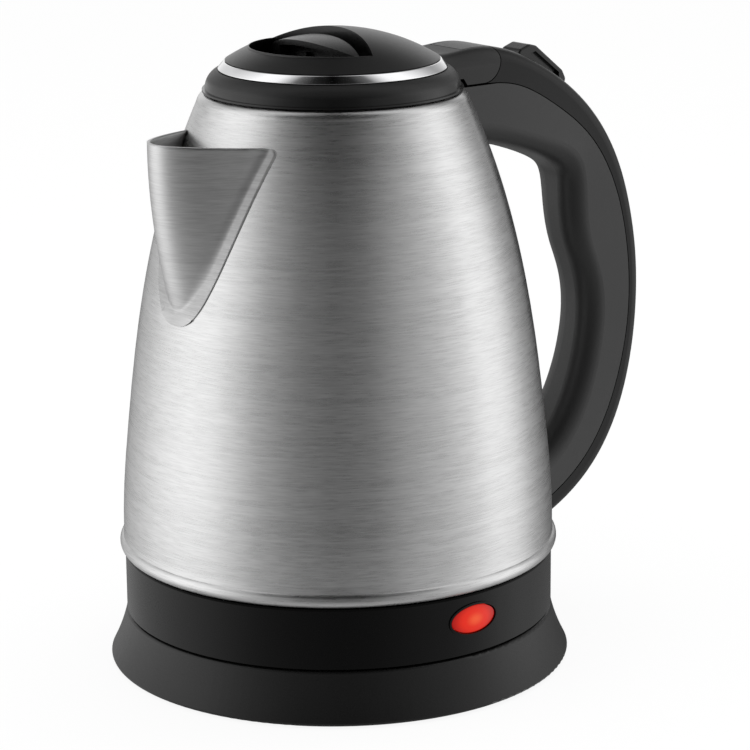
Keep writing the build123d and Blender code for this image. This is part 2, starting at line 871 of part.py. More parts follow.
def spout_form(inset, lowest):
    """Solid spout from above its rim down to a share of its height, drawn in by inset."""
    shares = [share for share in spout_levels if share < lowest] + [lowest]
    levels = [spout_top + 2 * spout_tip_lift] + [spout_top - share * spout_height for share in shares]
    return loft([spout_section(level, inset) for level in levels])


def above_spout_rim():
    """Everything above the spout's sloping rim, which rises from its ends to the nose."""
    end_x = -sqrt(body_radius(spout_top) ** 2 - spout_half_width ** 2)
    nose_x = -spout_tip(spout_top)
    end_z = spout_top - spout_end_drop
    slope = (spout_top + spout_tip_lift - end_z) / (end_x - nose_x)
    run = 2 * spout_projection
    return side_points([
        (end_x + run, end_z - slope * run), (end_x - run, end_z + slope * run),
        (end_x - run, far), (end_x + run, far),
    ], far)


def make_spout():
    channel = spout_form(spout_wall, channel_low_end)
    inside = body_envelope(seat_gap)
    wall = spout_form(0, spout_low_end) - channel - inside - above_spout_rim()
    band = body_skin(seat_gap, seat_gap + flange_thickness)
    flange_foot = spout_foot - flange_drop
    flange_top = spout_top - spout_end_drop
    outline = vee_outline(flange_half_width, flange_foot, flange_power, flange_top, flange_corner)
    return wall + ((band & front_slab(outline)) - channel)


def make_spout_filter():
    top = spout_top - filter_drop
    outer = -body_wall - seat_gap
    plate = body_skin(outer - filter_thickness, outer) & front_slab(window_outline(filter_margin, top))
    drill = Cylinder(filter_hole_radius, far, align=(Align.CENTER, Align.CENTER, Align.MIN))
    drill = Rot(0, -90, 0) * drill
    row_level = spout_foot + 2 * filter_pitch
    while row_level < top - filter_pitch:
        half = spout_half(row_level) - window_margin - 2 * filter_hole_radius
        count = int(half // filter_pitch)
        for step in range(-count, count + 1):
            plate -= Pos(0, step * filter_pitch, row_level) * drill
        row_level += filter_pitch
    return plate


# Filler mouth and lid

def make_mouth_collar():
    outer = mouth_radius - seat_gap
    inner = outer - collar_wall
    low = rim_height - collar_depth
    collar = tube(outer, inner, low, collar_top)
    collar += tube(outer + collar_flange_width, inner, rim_height + seat_gap, collar_top)
    gate = bolt_half_width + slot_gap
    strike = block((-far, 0), (-gate, gate), (liner_bottom - overcut, collar_top))
    return collar - strike


def flange_room():
    """Radius of the room for the liner's flange inside the lid's skirt."""
    return lid_radius - lid_wall - liner_flange_step


def frame_ring():
    """Turned part of the lid frame: lip, rounded shoulder and the ledge under the trim ring."""
    skirt_inner = lid_radius - lid_wall
    ledge = trim_foot_radius + 2 * seat_gap
    step = seal_top + seat_gap
    under = seal_top + liner_flange + 2 * seat_gap
    lip_top = lid_bottom + lip_height
    shoulder_radius = lid_radius - lip_stand_out
    bulge_radius = 0.5 * (shoulder_radius + ledge) + shoulder_bulge
    bulge_height = 0.5 * (lip_top + platform_top) + shoulder_bulge
    edges = [
        Line((lid_radius, 0, lid_bottom), (lid_radius, 0, lip_top)),
        Line((lid_radius, 0, lip_top), (shoulder_radius, 0, lip_top)),
        ThreePointArc(
            (shoulder_radius, 0, lip_top), (bulge_radius, 0, bulge_height), (ledge, 0, platform_top)),
        Polyline([
            (ledge, 0, platform_top),
            (ledge - platform_width, 0, platform_top),
            (ledge - platform_width, 0, platform_bottom),
            (ledge, 0, platform_bottom),
            (ledge, 0, under),
            (flange_room(), 0, under),
            (flange_room(), 0, step),
            (skirt_inner, 0, step),
            (skirt_inner, 0, lid_bottom),
            (lid_radius, 0, lid_bottom),
        ]),
    ]
    return turned(edges)


def hinge_block_outline(grow):
    """Side view of the hinge block behind the lid, with its round end about the hinge axis."""
    radius = barrel_radius - barrel_relief + grow
    front = trim_foot_radius - platform_width
    top = hinge_z + 2 * barrel_radius
    low = lid_bottom - grow
    neck = body_neck_radius + cheek_gap - grow
    return [
        Polyline([
            (hinge_x, 0, hinge_z - radius),
            (neck, 0, hinge_z - radius),
            (neck - cheek_gap, 0, low),
            (front, 0, low),
            (front, 0, top),
            (hinge_x, 0, top),
            (hinge_x, 0, hinge_z + radius),
        ]),
        ThreePointArc(
            (hinge_x, 0, hinge_z + radius), (hinge_x + radius, 0, hinge_z), (hinge_x, 0, hinge_z - radius)),
    ]


def make_lid_frame(handle_solid):
    behind_trim = trim_foot_radius + seam_gap
    arm = handle_solid & side_slab(hinge_block_outline(0), far)
    arm -= tube(behind_trim, 0, 0, far)
    tongue_room = tongue_half_width + seam_gap
    arm -= cross_rod(hinge_x, hinge_z, barrel_radius + seam_gap, tongue_room)
    arm -= block((hinge_x, far), (-tongue_room, tongue_room), (0, far))
    arm -= tube(lid_radius - lid_wall, 0, 0, platform_bottom)
    frame = frame_ring() + arm
    return frame - cross_rod(hinge_x, hinge_z, pin_radius + pin_gap, pin_half_length + pin_gap)


def make_lid_trim_ring():
    low = platform_top + seat_gap
    return turned_points([
        (trim_foot_radius, low),
        (trim_top_radius, low + trim_height),
        (trim_top_radius - trim_wall, low + trim_height),
        (trim_top_radius - trim_wall, low),
    ])


def dome_solid(sink):
    """Everything under the lid's dome, down to the frame's ledge, lowered by sink."""
    rim = trim_top_radius - dome_line
    foot = dome_foot + 3 * seat_gap - sink
    top = dome_top - sink
    neck = trim_top_radius - trim_wall - seat_gap
    sphere_radius = (rim * rim + (top - foot) ** 2) / (2 * (top - foot))
    edges = [
        round_corner((rim, foot), (0, top), (0, top - sphere_radius)),
        Polyline([
            (0, 0, top), (0, 0, platform_top + seat_gap), (neck, 0, platform_top + seat_gap),
            (neck, 0, foot), (rim, 0, foot),
        ]),
    ]
    return turned(edges)


def recess_plan(grow):
    """Half-moon plan of the finger recess: arc round the lid axis and a shallow far edge."""
    corner_y = sqrt(recess_radius ** 2 - recess_corner_x ** 2)
    edges = [
        ThreePointArc((recess_corner_x, corner_y), (-recess_radius, 0), (recess_corner_x, -corner_y)),
        ThreePointArc((recess_corner_x, -corner_y), (recess_far_x, 0), (recess_corner_x, corner_y)),
    ]
    plan = make_face(edges)
    if grow:
        plan = offset(plan, amount=grow, kind=Kind.ARC)
    return plan


def upright(plan, low, high):
    """Prism of a plan between two heights."""
    return Pos(0, 0, low) * extrude(plan, amount=high - low)


def latch_leg_places():
    """Middle of each latch leg in plan."""
    x = recess_far_x - latch_rear_gap - 0.5 * latch_leg_x - latch_leg_inset
    return [(x, latch_leg_spread), (x, -latch_leg_spread)]


def lid_boss_places():
    """Screw bosses under the lid cap, clear of the latch."""
    front = lid_boss_shift - lid_boss_x
    return [(lid_boss_x, lid_boss_y), (lid_boss_x, -lid_boss_y), (front, lid_boss_y), (front, -lid_boss_y)]


def make_lid_cap():
    solid = dome_solid(0)
    room = tube(trim_top_radius - trim_wall - cap_wall, 0, 0, dome_top) & dome_solid(cap_wall)
    cap = solid - room
    cap += upright(recess_plan(recess_wall), platform_top + seat_gap, dome_top) & solid
    for x, y in lid_boss_places():
        low = liner_bottom + liner_wall + seat_gap
        cap += post(x, y, lid_boss_radius, low, dome_top) & (solid + tube(far, 0, low, recess_floor))
    cap -= upright(recess_plan(0), recess_floor, dome_top + overcut)
    for x, y in lid_boss_places():
        hole_top = liner_bottom + liner_wall + lid_screw_bite + overcut
        cap -= post(x, y, screw_radius + seat_gap, liner_bottom, hole_top)
    for x, y in latch_leg_places():
        half_x = 0.5 * latch_leg_x + slot_gap
        half_y = 0.5 * latch_leg_y + slot_gap
        cap -= block((x - half_x, x + half_x + latch_travel), (y - half_y, y + half_y),
                     (platform_bottom, recess_floor + overcut))
    return cap


def latch_plan(rear_x, front_x):
    """Crescent between the latch's tips, from its rear edge to its front edge."""
    tip_y = sqrt(recess_radius ** 2 - recess_corner_x ** 2) - latch_tip_inset
    edges = [
        ThreePointArc((latch_tip_x, tip_y), (rear_x, 0), (latch_tip_x, -tip_y)),
        ThreePointArc((latch_tip_x, -tip_y), (front_x, 0), (latch_tip_x, tip_y)),
    ]
    return make_face(edges)


def make_lid_latch():
    rear_x = recess_far_x - latch_rear_gap
    front_x = rear_x - latch_bar_width
    foot = recess_floor + run_gap
    latch = upright(latch_plan(rear_x, front_x), foot, dome_top) & dome_solid(latch_sink)
    scoop = upright(latch_plan(rear_x - latch_hood, front_x - latch_bar_width), foot, dome_top)
    scoop &= dome_solid(latch_sink + latch_hood)
    latch -= scoop & block((-far, far), (-latch_scoop_half, latch_scoop_half), (foot + latch_hood, far))
    slider_top = slider_bottom + slider_thickness
    for x, y in latch_leg_places():
        half_x = 0.5 * latch_leg_x
        half_y = 0.5 * latch_leg_y
        leg_top = foot + latch_leg_bite
        latch += block((x - half_x, x + half_x), (y - half_y, y + half_y), (slider_bottom, leg_top))
    latch += block((-slider_front, slider_back), (-slider_half_width, slider_half_width),
                   (slider_bottom, slider_top))
    bolt_bottom = liner_bottom + liner_wall + run_gap
    arm_front = slider_front + slot_gap
    latch += block((-arm_front, -arm_front + bolt_arm), (-bolt_half_width, bolt_half_width),
                   (bolt_bottom, slider_top))
    bolt_end = mouth_radius - seat_gap - run_gap
    latch += block((-bolt_end, -arm_front + bolt_arm), (-bolt_half_width, bolt_half_width),
                   (bolt_bottom, bolt_bottom + bolt_thickness))
    return latch


def make_latch_spring():
    level = slider_bottom + 0.5 * slider_thickness
    start = slider_back + seat_gap + spring_wire_radius
    length = spring_length - 2 * (seat_gap + spring_wire_radius)
    coil = Helix(length / spring_turns, length, spring_radius)
    section = Plane(origin=coil @ 0, z_dir=coil % 0) * Circle(spring_wire_radius)
    return Pos(start, 0, level) * Rot(0, 90, 0) * sweep(section, path=coil)


def make_lid_liner():
    flange_low = seal_top + seat_gap
    flange_outer = flange_room() - seat_gap
    liner = tube(liner_radius, 0, liner_bottom, liner_bottom + liner_wall)
    liner += tube(liner_radius, liner_radius - liner_wall, liner_bottom, flange_low + liner_flange)
    liner += tube(flange_outer, liner_radius - liner_wall, flange_low, flange_low + liner_flange)
    rail_top = slider_bottom - run_gap
    for side in (-1, 1):
        y = side * (slider_half_width - rail_inset)
        sides = (y - 0.5 * rail_width, y + 0.5 * rail_width)
        liner += block((rail_set_back - slider_front, slider_back), sides, (liner_bottom, rail_top))
    post_x = slider_back + spring_length
    liner += block((post_x, post_x + spring_post), (-spring_post_half, spring_post_half),
                   (liner_bottom, slider_bottom + slider_thickness + slider_drop - run_gap))
    gate = bolt_half_width + slot_gap
    gate_end = 2 * liner_wall - liner_radius
    liner -= block((-far, gate_end), (-gate, gate), (liner_bottom + liner_wall, flange_low))
    for x, y in lid_boss_places():
        liner -= post(x, y, screw_radius + seat_gap, liner_bottom, liner_bottom + liner_wall)
    return liner


def make_lid_seal():
    outer = mouth_radius + collar_flange_width
    return tube(outer, outer - seal_width, seal_bottom, seal_top)


def make_lid_screws():
    low = liner_bottom - screw_head_height - seat_gap
    return [screw(x, y, low, liner_wall + lid_screw_bite) for x, y in lid_boss_places()]


# Handle

def handle_section(outer, inner, half_width, thinner):
    """Rounded section of the handle across its run, thinner all round by the given wall."""
    depth = hypot(outer[0] - inner[0], outer[1] - inner[1])
    across = ((outer[0] - inner[0]) / depth, 0, (outer[1] - inner[1]) / depth)
    middle = (0.5 * (outer[0] + inner[0]), 0, 0.5 * (outer[1] + inner[1]))
    plane = Plane(origin=middle, x_dir=across, z_dir=(across[2], 0, -across[0]))
    flat = Rectangle(depth - 2 * thinner, 2 * (half_width - thinner))
    flat = fillet(flat.vertices().sort_by(Axis.X)[2:], max(handle_outer_round - thinner, 1))
    flat = fillet(flat.vertices().sort_by(Axis.X)[:2], max(handle_inner_round - thinner, 1))
    return plane * flat


def handle_form(thinner):
    """Smooth solid through all handle stations."""
    sections = [handle_section(outer, inner, half, thinner) for outer, inner, half, depth in handle_stations]
    return loft(sections)


def cover_region(gap):
    """Everything on the outer side of the line that splits the handle cover from the grip."""
    seam = []
    for outer, inner, half, depth in handle_stations:
        run_x, run_z = inner[0] - outer[0], inner[1] - outer[1]
        part_in = (depth + gap) / hypot(run_x, run_z)
        seam.append((outer[0] + part_in * run_x, 0, outer[1] + part_in * run_z))
    edges = [
        Spline(seam),
        Polyline([seam[-1], (seam[-1][0], 0, 0), (far, 0, 0), (far, 0, far), (seam[0][0], 0, far), seam[0]]),
    ]
    return side_slab(edges, far)


def rocker_outline():
    """Side view of the rocker, from its front edge over the crest to the tail and back under it."""
    points = [rocker_front, rocker_crest, rocker_brow, rocker_heel, rocker_tail, rocker_keel_rear,
              rocker_keel_front]
    places = [(hinge_x + x, 0, hinge_z + z) for x, z in points]
    return make_face(FilletPolyline(*places, radius=rocker_round, close=True))


def rocker_slot():
    """Opening in the cover: the room the rocker sweeps as it tips, with a seam all round."""
    grown = offset(rocker_outline(), amount=seam_gap, kind=Kind.INTERSECTION)
    slab = extrude(grown, amount=rocker_half_width + seam_gap, dir=(0, 1, 0), both=True)
    pivot = Axis((rocker_pivot[0], 0, rocker_pivot[1]), (0, 1, 0))
    return slab + slab.rotate(pivot, 0.5 * rocker_travel) + slab.rotate(pivot, rocker_travel)


def make_handle_cover(handle_solid, cavity):
    cover = handle_solid & cover_region(0)
    hollow_start = hinge_x + barrel_radius + handle_wall + overcut
    cover -= cavity & block((hollow_start, far), (-far, far), (0, far))
    cheek_room = side_slab(hinge_block_outline(seam_gap), far)
    tongue = block((0, far), (-tongue_half_width, tongue_half_width), (0, far))
    cover -= cheek_room - tongue
    ahead = block((0, hinge_x), (-far, far), (body_mid_height, far))
    cover -= ahead - cross_rod(hinge_x, hinge_z, barrel_radius, far)
    cover -= rocker_slot()
    trunnion_room = rocker_half_width + trunnion_reach + trunnion_slack
    cover -= cross_rod(rocker_pivot[0], rocker_pivot[1], trunnion_radius + pin_gap, trunnion_room)
    cover -= cross_rod(hinge_x, hinge_z, pin_radius + seat_gap, far)
    cover -= body_envelope(run_gap)
    return cover - lead_port()


def upper_tab_top():
    """Level of the upper bracket's tab."""
    return rim_height - upper_tab_drop


def lower_tab_bottom():
    """Level of the lower bracket's tab."""
    return body_foot_height - lower_tab_sink


def screw_post_x(height):
    """Distance from the axis of a bracket's screw."""
    return body_radius(max(height, body_foot_height)) + bracket_reach - bracket_screw_inset


def make_handle_grip(handle_solid, cavity):
    grip = handle_solid - cover_region(seam_gap)
    grip -= cavity
    over_seam = block((0, hinge_x + 2 * barrel_radius), (-far, far), (seam_level - seam_gap, far))
    grip -= over_seam
    upper_x = screw_post_x(upper_tab_top())
    tab_under = upper_tab_top() - bracket_thickness - seat_gap
    grip += handle_solid & post(upper_x, 0, handle_post_radius, tab_under - handle_post_length, tab_under)
    lower_x = screw_post_x(body_foot_height)
    tab_over = lower_tab_bottom() + bracket_thickness + seat_gap
    grip += handle_solid & post(lower_x, 0, handle_post_radius, tab_over, tab_over + handle_post_length)
    grip -= post(upper_x, 0, screw_radius + seat_gap, tab_under - upper_screw_length, tab_under)
    grip -= post(lower_x, 0, screw_radius + seat_gap, tab_over, tab_over + lower_screw_length)
    grip -= body_envelope(run_gap)
    return grip - lead_port()


def make_upper_bracket(cavity):
    top = upper_tab_top()
    radius = body_radius(top)
    plate = body_skin(seat_gap, seat_gap + bracket_thickness) & block(
        (0, far), (-bracket_half_width, bracket_half_width), (top - upper_plate_height, top))
    tab = block((radius, radius + bracket_reach), (-bracket_half_width, bracket_half_width),
                (top - bracket_thickness, top)) - body_envelope(seat_gap)
    hole = post(screw_post_x(top), 0, screw_radius + seat_gap, top - bracket_reach, top + bracket_reach)
    return ((plate + tab) & cavity) - hole


def make_lower_bracket(cavity):
    low = lower_tab_bottom()
    plate = body_skin(seat_gap, seat_gap + bracket_thickness) & block(
        (0, far), (-bracket_half_width, bracket_half_width), (low, low + lower_plate_height))
    sides = (-bracket_half_width, bracket_half_width)
    tab = block((body_foot_radius, body_foot_radius + bracket_reach), sides, (low, low + bracket_thickness))
    tab -= body_envelope(seat_gap)
    screw_x = screw_post_x(body_foot_height)
    hole = post(screw_x, 0, screw_radius + seat_gap, low - bracket_reach, low + bracket_reach)
    return ((plate + tab) & cavity) - hole


def make_handle_screws():
    upper_top = upper_tab_top() + seat_gap
    upper_x = screw_post_x(upper_tab_top())
    upper = post(upper_x, 0, screw_head_radius, upper_top, upper_top + screw_head_height)
    upper += post(upper_x, 0, screw_radius, upper_top - upper_screw_length, upper_top)
    lower_low = lower_tab_bottom() - seat_gap
    lower_x = screw_post_x(body_foot_height)
    lower = post(lower_x, 0, screw_head_radius, lower_low - screw_head_height, lower_low)
    lower += post(lower_x, 0, screw_radius, lower_low, lower_low + lower_screw_length)
    return [upper, lower]


def make_hinge_pin():
    return cross_rod(hinge_x, hinge_z, pin_radius, pin_half_length)


def make_steam_switch(cavity):
    foot = rim_height - switch_drop
    return cavity & block((switch_x, switch_x + switch_length), (-switch_half_width, switch_half_width),
                          (foot, foot + switch_height))


def make_switch_leads():
    start_x = switch_x + switch_length + seat_gap
    points = [(start_x, 0, rim_height - lead_drop), (start_x + lead_run, 0, rim_height - lead_drop)]
    for outer, inner, half, depth in handle_stations[4:11]:
        points.append((0.5 * (outer[0] + inner[0]), 0, 0.5 * (outer[1] + inner[1])))
    points += [
        (housing_radius + lead_entry[0], 0, lead_level + lead_entry[1]),
        (housing_radius + lead_mouth, 0, lead_level),
        (housing_radius - lead_inside, 0, lead_level),
    ]
    path = FilletPolyline(*points, radius=lead_bend)
    section = Plane(origin=path @ 0, z_dir=path % 0) * Circle(lead_radius)
    return sweep(section, path=path)


def make_switch_rocker():
    rocker = extrude(rocker_outline(), amount=rocker_half_width, dir=(0, 1, 0), both=True)
    sides = rocker.faces().sort_by(Axis.Y)
    rocker = fillet(sides[0].edges() + sides[-1].edges(), rocker_edge)
    hollow = side_points([(hinge_x + x, hinge_z + z) for x, z in (
        (rocker_crest[0] - rocker_roof, rocker_crest[1] - 2 * rocker_roof),
        (rocker_brow[0] - edge_break, rocker_brow[1] - rocker_roof),
        (rocker_heel[0] - rocker_roof, rocker_heel[1] - edge_break),
        (rocker_tail[0] - 2 * rocker_roof, rocker_tail[1]),
        (rocker_keel_rear[0] - 2 * rocker_roof, rocker_keel_rear[1] + 2 * rocker_roof),
    )], far)
    core = rocker_half_width - rocker_hollow
    rocker -= hollow - block((0, far), (-core, core), (0, far))
    half_length = rocker_half_width + trunnion_reach
    return rocker + cross_rod(rocker_pivot[0], rocker_pivot[1], trunnion_radius, half_length)


# All pieces

handle_solid = handle_form(0)
handle_cavity = handle_form(handle_wall)
slack_cavity = handle_form(handle_wall + seat_gap)

pieces = {
    "base_skirt": make_base_skirt(),
    "base_plate": make_base_plate(),
    "base_feet": make_base_feet(),
    "base_screws": make_base_screws(),
    "base_socket": make_base_socket(),
    "socket_contacts": make_socket_contacts(),
    "cord_inlet_bush": make_cord_inlet_bush(),
    "coupler_housing": make_coupler_housing(),
    "coupler_contacts": make_coupler_contacts(),
    "bottom_housing": make_bottom_housing(),
    "housing_screws": make_housing_screws(),
    "lamp_lens": make_lamp_lens(),
    "pilot_lamp": make_pilot_lamp(),
    "lamp_holder": make_lamp_holder(),
    "heating_plate": make_heating_plate(),
    "heating_element": make_heating_element(),
    "control_thermostat": make_control_thermostat(),
    "body_shell": make_body_shell(),
    "spout": make_spout(),
    "spout_filter": make_spout_filter(),
    "mouth_collar": make_mouth_collar(),
    "handle_grip": make_handle_grip(handle_solid, handle_cavity),
    "handle_cover": make_handle_cover(handle_solid, handle_cavity),
    "upper_bracket": make_upper_bracket(slack_cavity),
    "lower_bracket": make_lower_bracket(slack_cavity),
    "handle_screws": make_handle_screws(),
    "hinge_pin": make_hinge_pin(),
    "steam_switch": make_steam_switch(slack_cavity),
    "switch_leads": make_switch_leads(),
    "switch_rocker": make_switch_rocker(),
    "lid_frame": make_lid_frame(handle_solid),
    "lid_trim_ring": make_lid_trim_ring(),
    "lid_cap": make_lid_cap(),
    "lid_latch": make_lid_latch(),
    "latch_spring": make_latch_spring(),
    "lid_liner": make_lid_liner(),
    "lid_seal": make_lid_seal(),
    "lid_screws": make_lid_screws(),
}

os.makedirs("parts", exist_ok=True)
for node, shape in pieces.items():
    solid = Compound(children=shape) if isinstance(shape, list) else shape
    export_step(solid, f"parts/{node}.step")
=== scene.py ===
import math

import bmesh
import bpy
import numpy as np
from mathutils import Matrix, Vector


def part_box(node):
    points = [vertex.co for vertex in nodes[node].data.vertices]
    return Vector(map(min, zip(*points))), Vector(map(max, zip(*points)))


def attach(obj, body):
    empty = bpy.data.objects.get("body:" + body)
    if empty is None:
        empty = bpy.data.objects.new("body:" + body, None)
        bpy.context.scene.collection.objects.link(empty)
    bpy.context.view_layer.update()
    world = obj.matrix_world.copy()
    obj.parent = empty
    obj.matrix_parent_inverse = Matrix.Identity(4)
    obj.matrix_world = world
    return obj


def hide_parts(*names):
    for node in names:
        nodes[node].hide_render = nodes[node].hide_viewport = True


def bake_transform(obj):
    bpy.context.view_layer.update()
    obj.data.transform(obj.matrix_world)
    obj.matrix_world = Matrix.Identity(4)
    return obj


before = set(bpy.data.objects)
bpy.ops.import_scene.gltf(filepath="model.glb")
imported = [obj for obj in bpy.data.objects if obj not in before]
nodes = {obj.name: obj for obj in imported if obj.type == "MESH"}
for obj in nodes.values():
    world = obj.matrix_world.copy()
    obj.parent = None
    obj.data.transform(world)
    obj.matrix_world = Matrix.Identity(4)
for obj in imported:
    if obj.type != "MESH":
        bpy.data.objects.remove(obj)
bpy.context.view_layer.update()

# Cordless kettle: looks, light and camera. Metres, same frame as the solids:
# kettle axis on Z, table at z = 0, handle towards +X, spout towards -X, lamp at -Y.

scene = bpy.context.scene
mm = 0.001

# Camera of the photograph, solved from the round edges of the kettle
camera_azimuth = math.radians(37.0)
camera_ground_distance = 949.98 * mm
camera_height = 346.66 * mm
camera_pitch = math.radians(14.77)
camera_yaw = math.radians(0.78)
camera_roll = math.radians(-0.5)
camera_lens = 140.45
sensor_width = 36.0
camera_clip = (0.05, 50.0)

# Lid: bright ring by radius and height, dome, finger recess, and the edge of the polished band at the foot
ring_foot = (37.72 * mm, 200.56 * mm)
ring_top = (35.58 * mm, 203.08 * mm)
ring_wall = 1.2 * mm
ring_round = 0.3 * mm
ring_corner_points = 6
ring_points = 192
dome_radius = 66.85 * mm
dome_centre_height = 146.55 * mm
recess_radius = 27.5 * mm
recess_corner_x = -4.4 * mm
# Painted shade in the finger recess: full from the first depth below the dome's surface down, gone from the
# second depth up
recess_shade_depths = (0.8 * mm, 0.3 * mm)
lip_radius = 0.34 * mm
lip_taper = 0.5
lip_points = 97
lip_section_points = 12
shoulder_band = (195.8 * mm, 197.6 * mm)

# Latch spring
spring_wire_radius = 0.35 * mm
spring_turns = 5
spring_points = 241
wire_section_points = 10

# Lamp lens on the round housing
housing_radius = 72.3 * mm
lens_half_width = 8.75 * mm
lens_half_height = 4.4 * mm
lens_bulge = 0.7 * mm
lens_depth = 2.6 * mm
lens_rows = 20
lens_points = 96

# Glow of the lens: its reach along each axis, and pairs of place and colour from the middle to the rim
glow_reach = (9.2 * mm, 9.2 * mm, 6.2 * mm)
glow_colours = [(0.05, (1.0, 0.15, 0.045)), (0.5, (0.82, 0.026, 0.009)), (1.0, (0.36, 0.004, 0.003))]
glow_strength = 0.80
lens_colour = (0.12, 0.003, 0.002)
lens_roughness = 0.22
lens_gloss = 0.2

# Profile of the steel body, as pairs of radius and height, and its slope at the neck
body_points = np.array([
    (72.6, 46.0), (70.3, 80.0), (65.9, 115.0), (59.3, 148.0), (52.4, 171.0), (44.8, 190.0),
]) * mm
neck_slope = 0.43

# Spout: a folded sheet with a flange on the body
spout_top = 182.0 * mm
spout_foot = 128.0 * mm
spout_half_width = 23.0 * mm
spout_least_half_width = 0.1 * mm
spout_power = 0.48
spout_projection = 23.3 * mm
spout_foot_projection = 0.2 * mm
spout_tip_lift = 1.1 * mm
spout_end_drop = 0.5 * mm
spout_wall = 1.0 * mm
spout_side_inset = 1.3
spout_columns = 141
spout_rows = 91
spout_row_power = 1.5
nose_bend = 1.8
nose_bend_growth = 1.2
joint_blend = 2.0 * mm
joint_blend_rise = 14.0 * mm
joint_blend_least = 0.1
flange_foot = 123.6 * mm
flange_half_width = 26.2 * mm
flange_power = 0.38
flange_gap = 0.05 * mm
flange_thickness = 0.35 * mm
flange_corner = 2.5 * mm
flange_round = 0.25 * mm

# Meshes: points closer than this are merged, and the name of the share that says where steel is satin
merge_distance = 1e-7
satin_attribute = "satin"

# Textures: stretch of the noise along each axis, its detail, and how far it moves tone, roughness and relief
noise_range = (0.3, 0.7)
streak_stretch = (150.0, 150.0, 2600.0)
streak_detail = 2.0
streak_harshness = 0.55
broad_streak_stretch = (9.0, 9.0, 520.0)
broad_streak_detail = 2.0
broad_streak_share = 0.10
steel_roughness_spread = 0.15
steel_anisotropy = 0.7
steel_anisotropy_turn = 0.25
steel_relief = (0.02, 0.04 * mm)
grain_stretch = (2600.0, 2600.0, 2600.0)
grain_detail = 2.0
grain_depth = 0.12 * mm
grain_roughness = (-0.05, 0.07)
cloud_stretch = (70.0, 70.0, 70.0)
cloud_detail = 3.0
cloud_tone_spread = 0.18
two_zone_grain = 0.06
two_zone_roughness_spread = 0.12
wipe_stretch = (60.0, 60.0, 700.0)
wipe_detail = 3.0
wipe_roughness = (0.8, 1.3)
wipe_tone = 0.94
dust_stretch = (240.0, 240.0, 240.0)
dust_detail = 4.0
dust_tones = (0.85, 1.1)
dust_roughness_spread = 0.06
dust_relief = (0.1, 0.1 * mm)

# Studio walls as mirrors see them: pairs of place and tone, in a turn that starts behind the kettle and
# goes by the left, the camera and the right
surround_tones = [
    (0.0, 0.05), (0.04, 0.15), (0.08, 0.33), (0.14, 0.55), (0.21, 0.90), (0.26, 1.0), (0.30, 0.94),
    (0.34, 0.66), (0.38, 0.36), (0.44, 0.17), (0.50, 0.10), (0.555, 0.15), (0.61, 0.33), (0.665, 0.48),
    (0.71, 0.70), (0.75, 0.97), (0.795, 0.88), (0.85, 0.38), (0.90, 0.15), (0.95, 0.03), (1.0, 0.03),
]
# Ceiling: pairs of place and tone, from above the camera to behind the kettle
ceiling_tones = [
    (0.0, 0.0), (0.20, 0.01), (0.33, 0.08), (0.46, 0.70), (0.56, 0.76), (0.75, 0.16), (1.0, 0.02),
]
ground_tone = 0.33
back_wall_tone = 0.6

# Heights, as shares of the surround's radius, and angles from the camera over which its tones change
ground_fade = (-0.65, -0.20)
back_wall_fade = (-0.1, 0.1)
back_wall_angles = (0.76 * math.pi, 0.9 * math.pi)
ceiling_fade = (0.45, 0.75)
surround_radius = 2.5
surround_strength = 1.6
surround_rows = 49
surround_points = 96

# Background and floor
ambient_light = 0.75
floor_half_size = 4.0
floor_tone = 0.85
floor_glow = 1.03
floor_shade = 0.12

# Soft boxes: name, degrees to the right of the camera, distance, height, width, upright size and power
soft_boxes = [
    ("soft_box_left", -62.0, 1.0, 0.55, 0.9, 1.3, 3.0),
    ("soft_box_right", 108.0, 1.0, 0.55, 0.6, 1.3, 2.0),
    ("soft_box_top", 160.0, 0.5, 1.3, 0.9, 0.9, 3.0),
]
soft_box_aim = Vector((0.0, 0.0, 0.10))


# Mesh helpers

def full_turn(count):
    """Evenly spaced angles of one turn."""
    return np.linspace(0.0, 2.0 * math.pi, count + 1)[:-1]


def turned(radius, turn, level):
    """Points at a radius and a height, turned about the axis."""
    return np.stack(np.broadcast_arrays(radius * np.cos(turn), radius * np.sin(turn), level), axis=-1)


def grid_quads(rows, columns):
    """Quads of a grid whose columns run round and close."""
    row, column = np.meshgrid(np.arange(rows - 1), np.arange(columns), indexing="ij")
    after = (column + 1) % columns
    quads = np.stack([row * columns + column, row * columns + after,
                      (row + 1) * columns + after, (row + 1) * columns + column], axis=-1)
    return quads.reshape(-1, 4)


def grid_object(name, grid, satin=None):
    """Object from a grid of points with rows by columns, the columns closed and pinched ends merged. A
    share for each point says where the surface is satin."""
    rows, columns = grid.shape[:2]
    mesh = bpy.data.meshes.new(name)
    mesh.from_pydata(grid.reshape(-1, 3).tolist(), [], grid_quads(rows, columns).tolist())
    if satin is not None:
        mesh.attributes.new(satin_attribute, "FLOAT", "POINT").data.foreach_set("value", satin.ravel())
    shape = bmesh.new()
    shape.from_mesh(mesh)
    bmesh.ops.remove_doubles(shape, verts=shape.verts, dist=merge_distance)
    bmesh.ops.recalc_face_normals(shape, faces=shape.faces)
    shape.to_mesh(mesh)
    shape.free()
    mesh.polygons.foreach_set("use_smooth", np.ones(len(mesh.polygons), dtype=bool))
    piece = bpy.data.objects.new(name, mesh)
    scene.collection.objects.link(piece)
    return piece


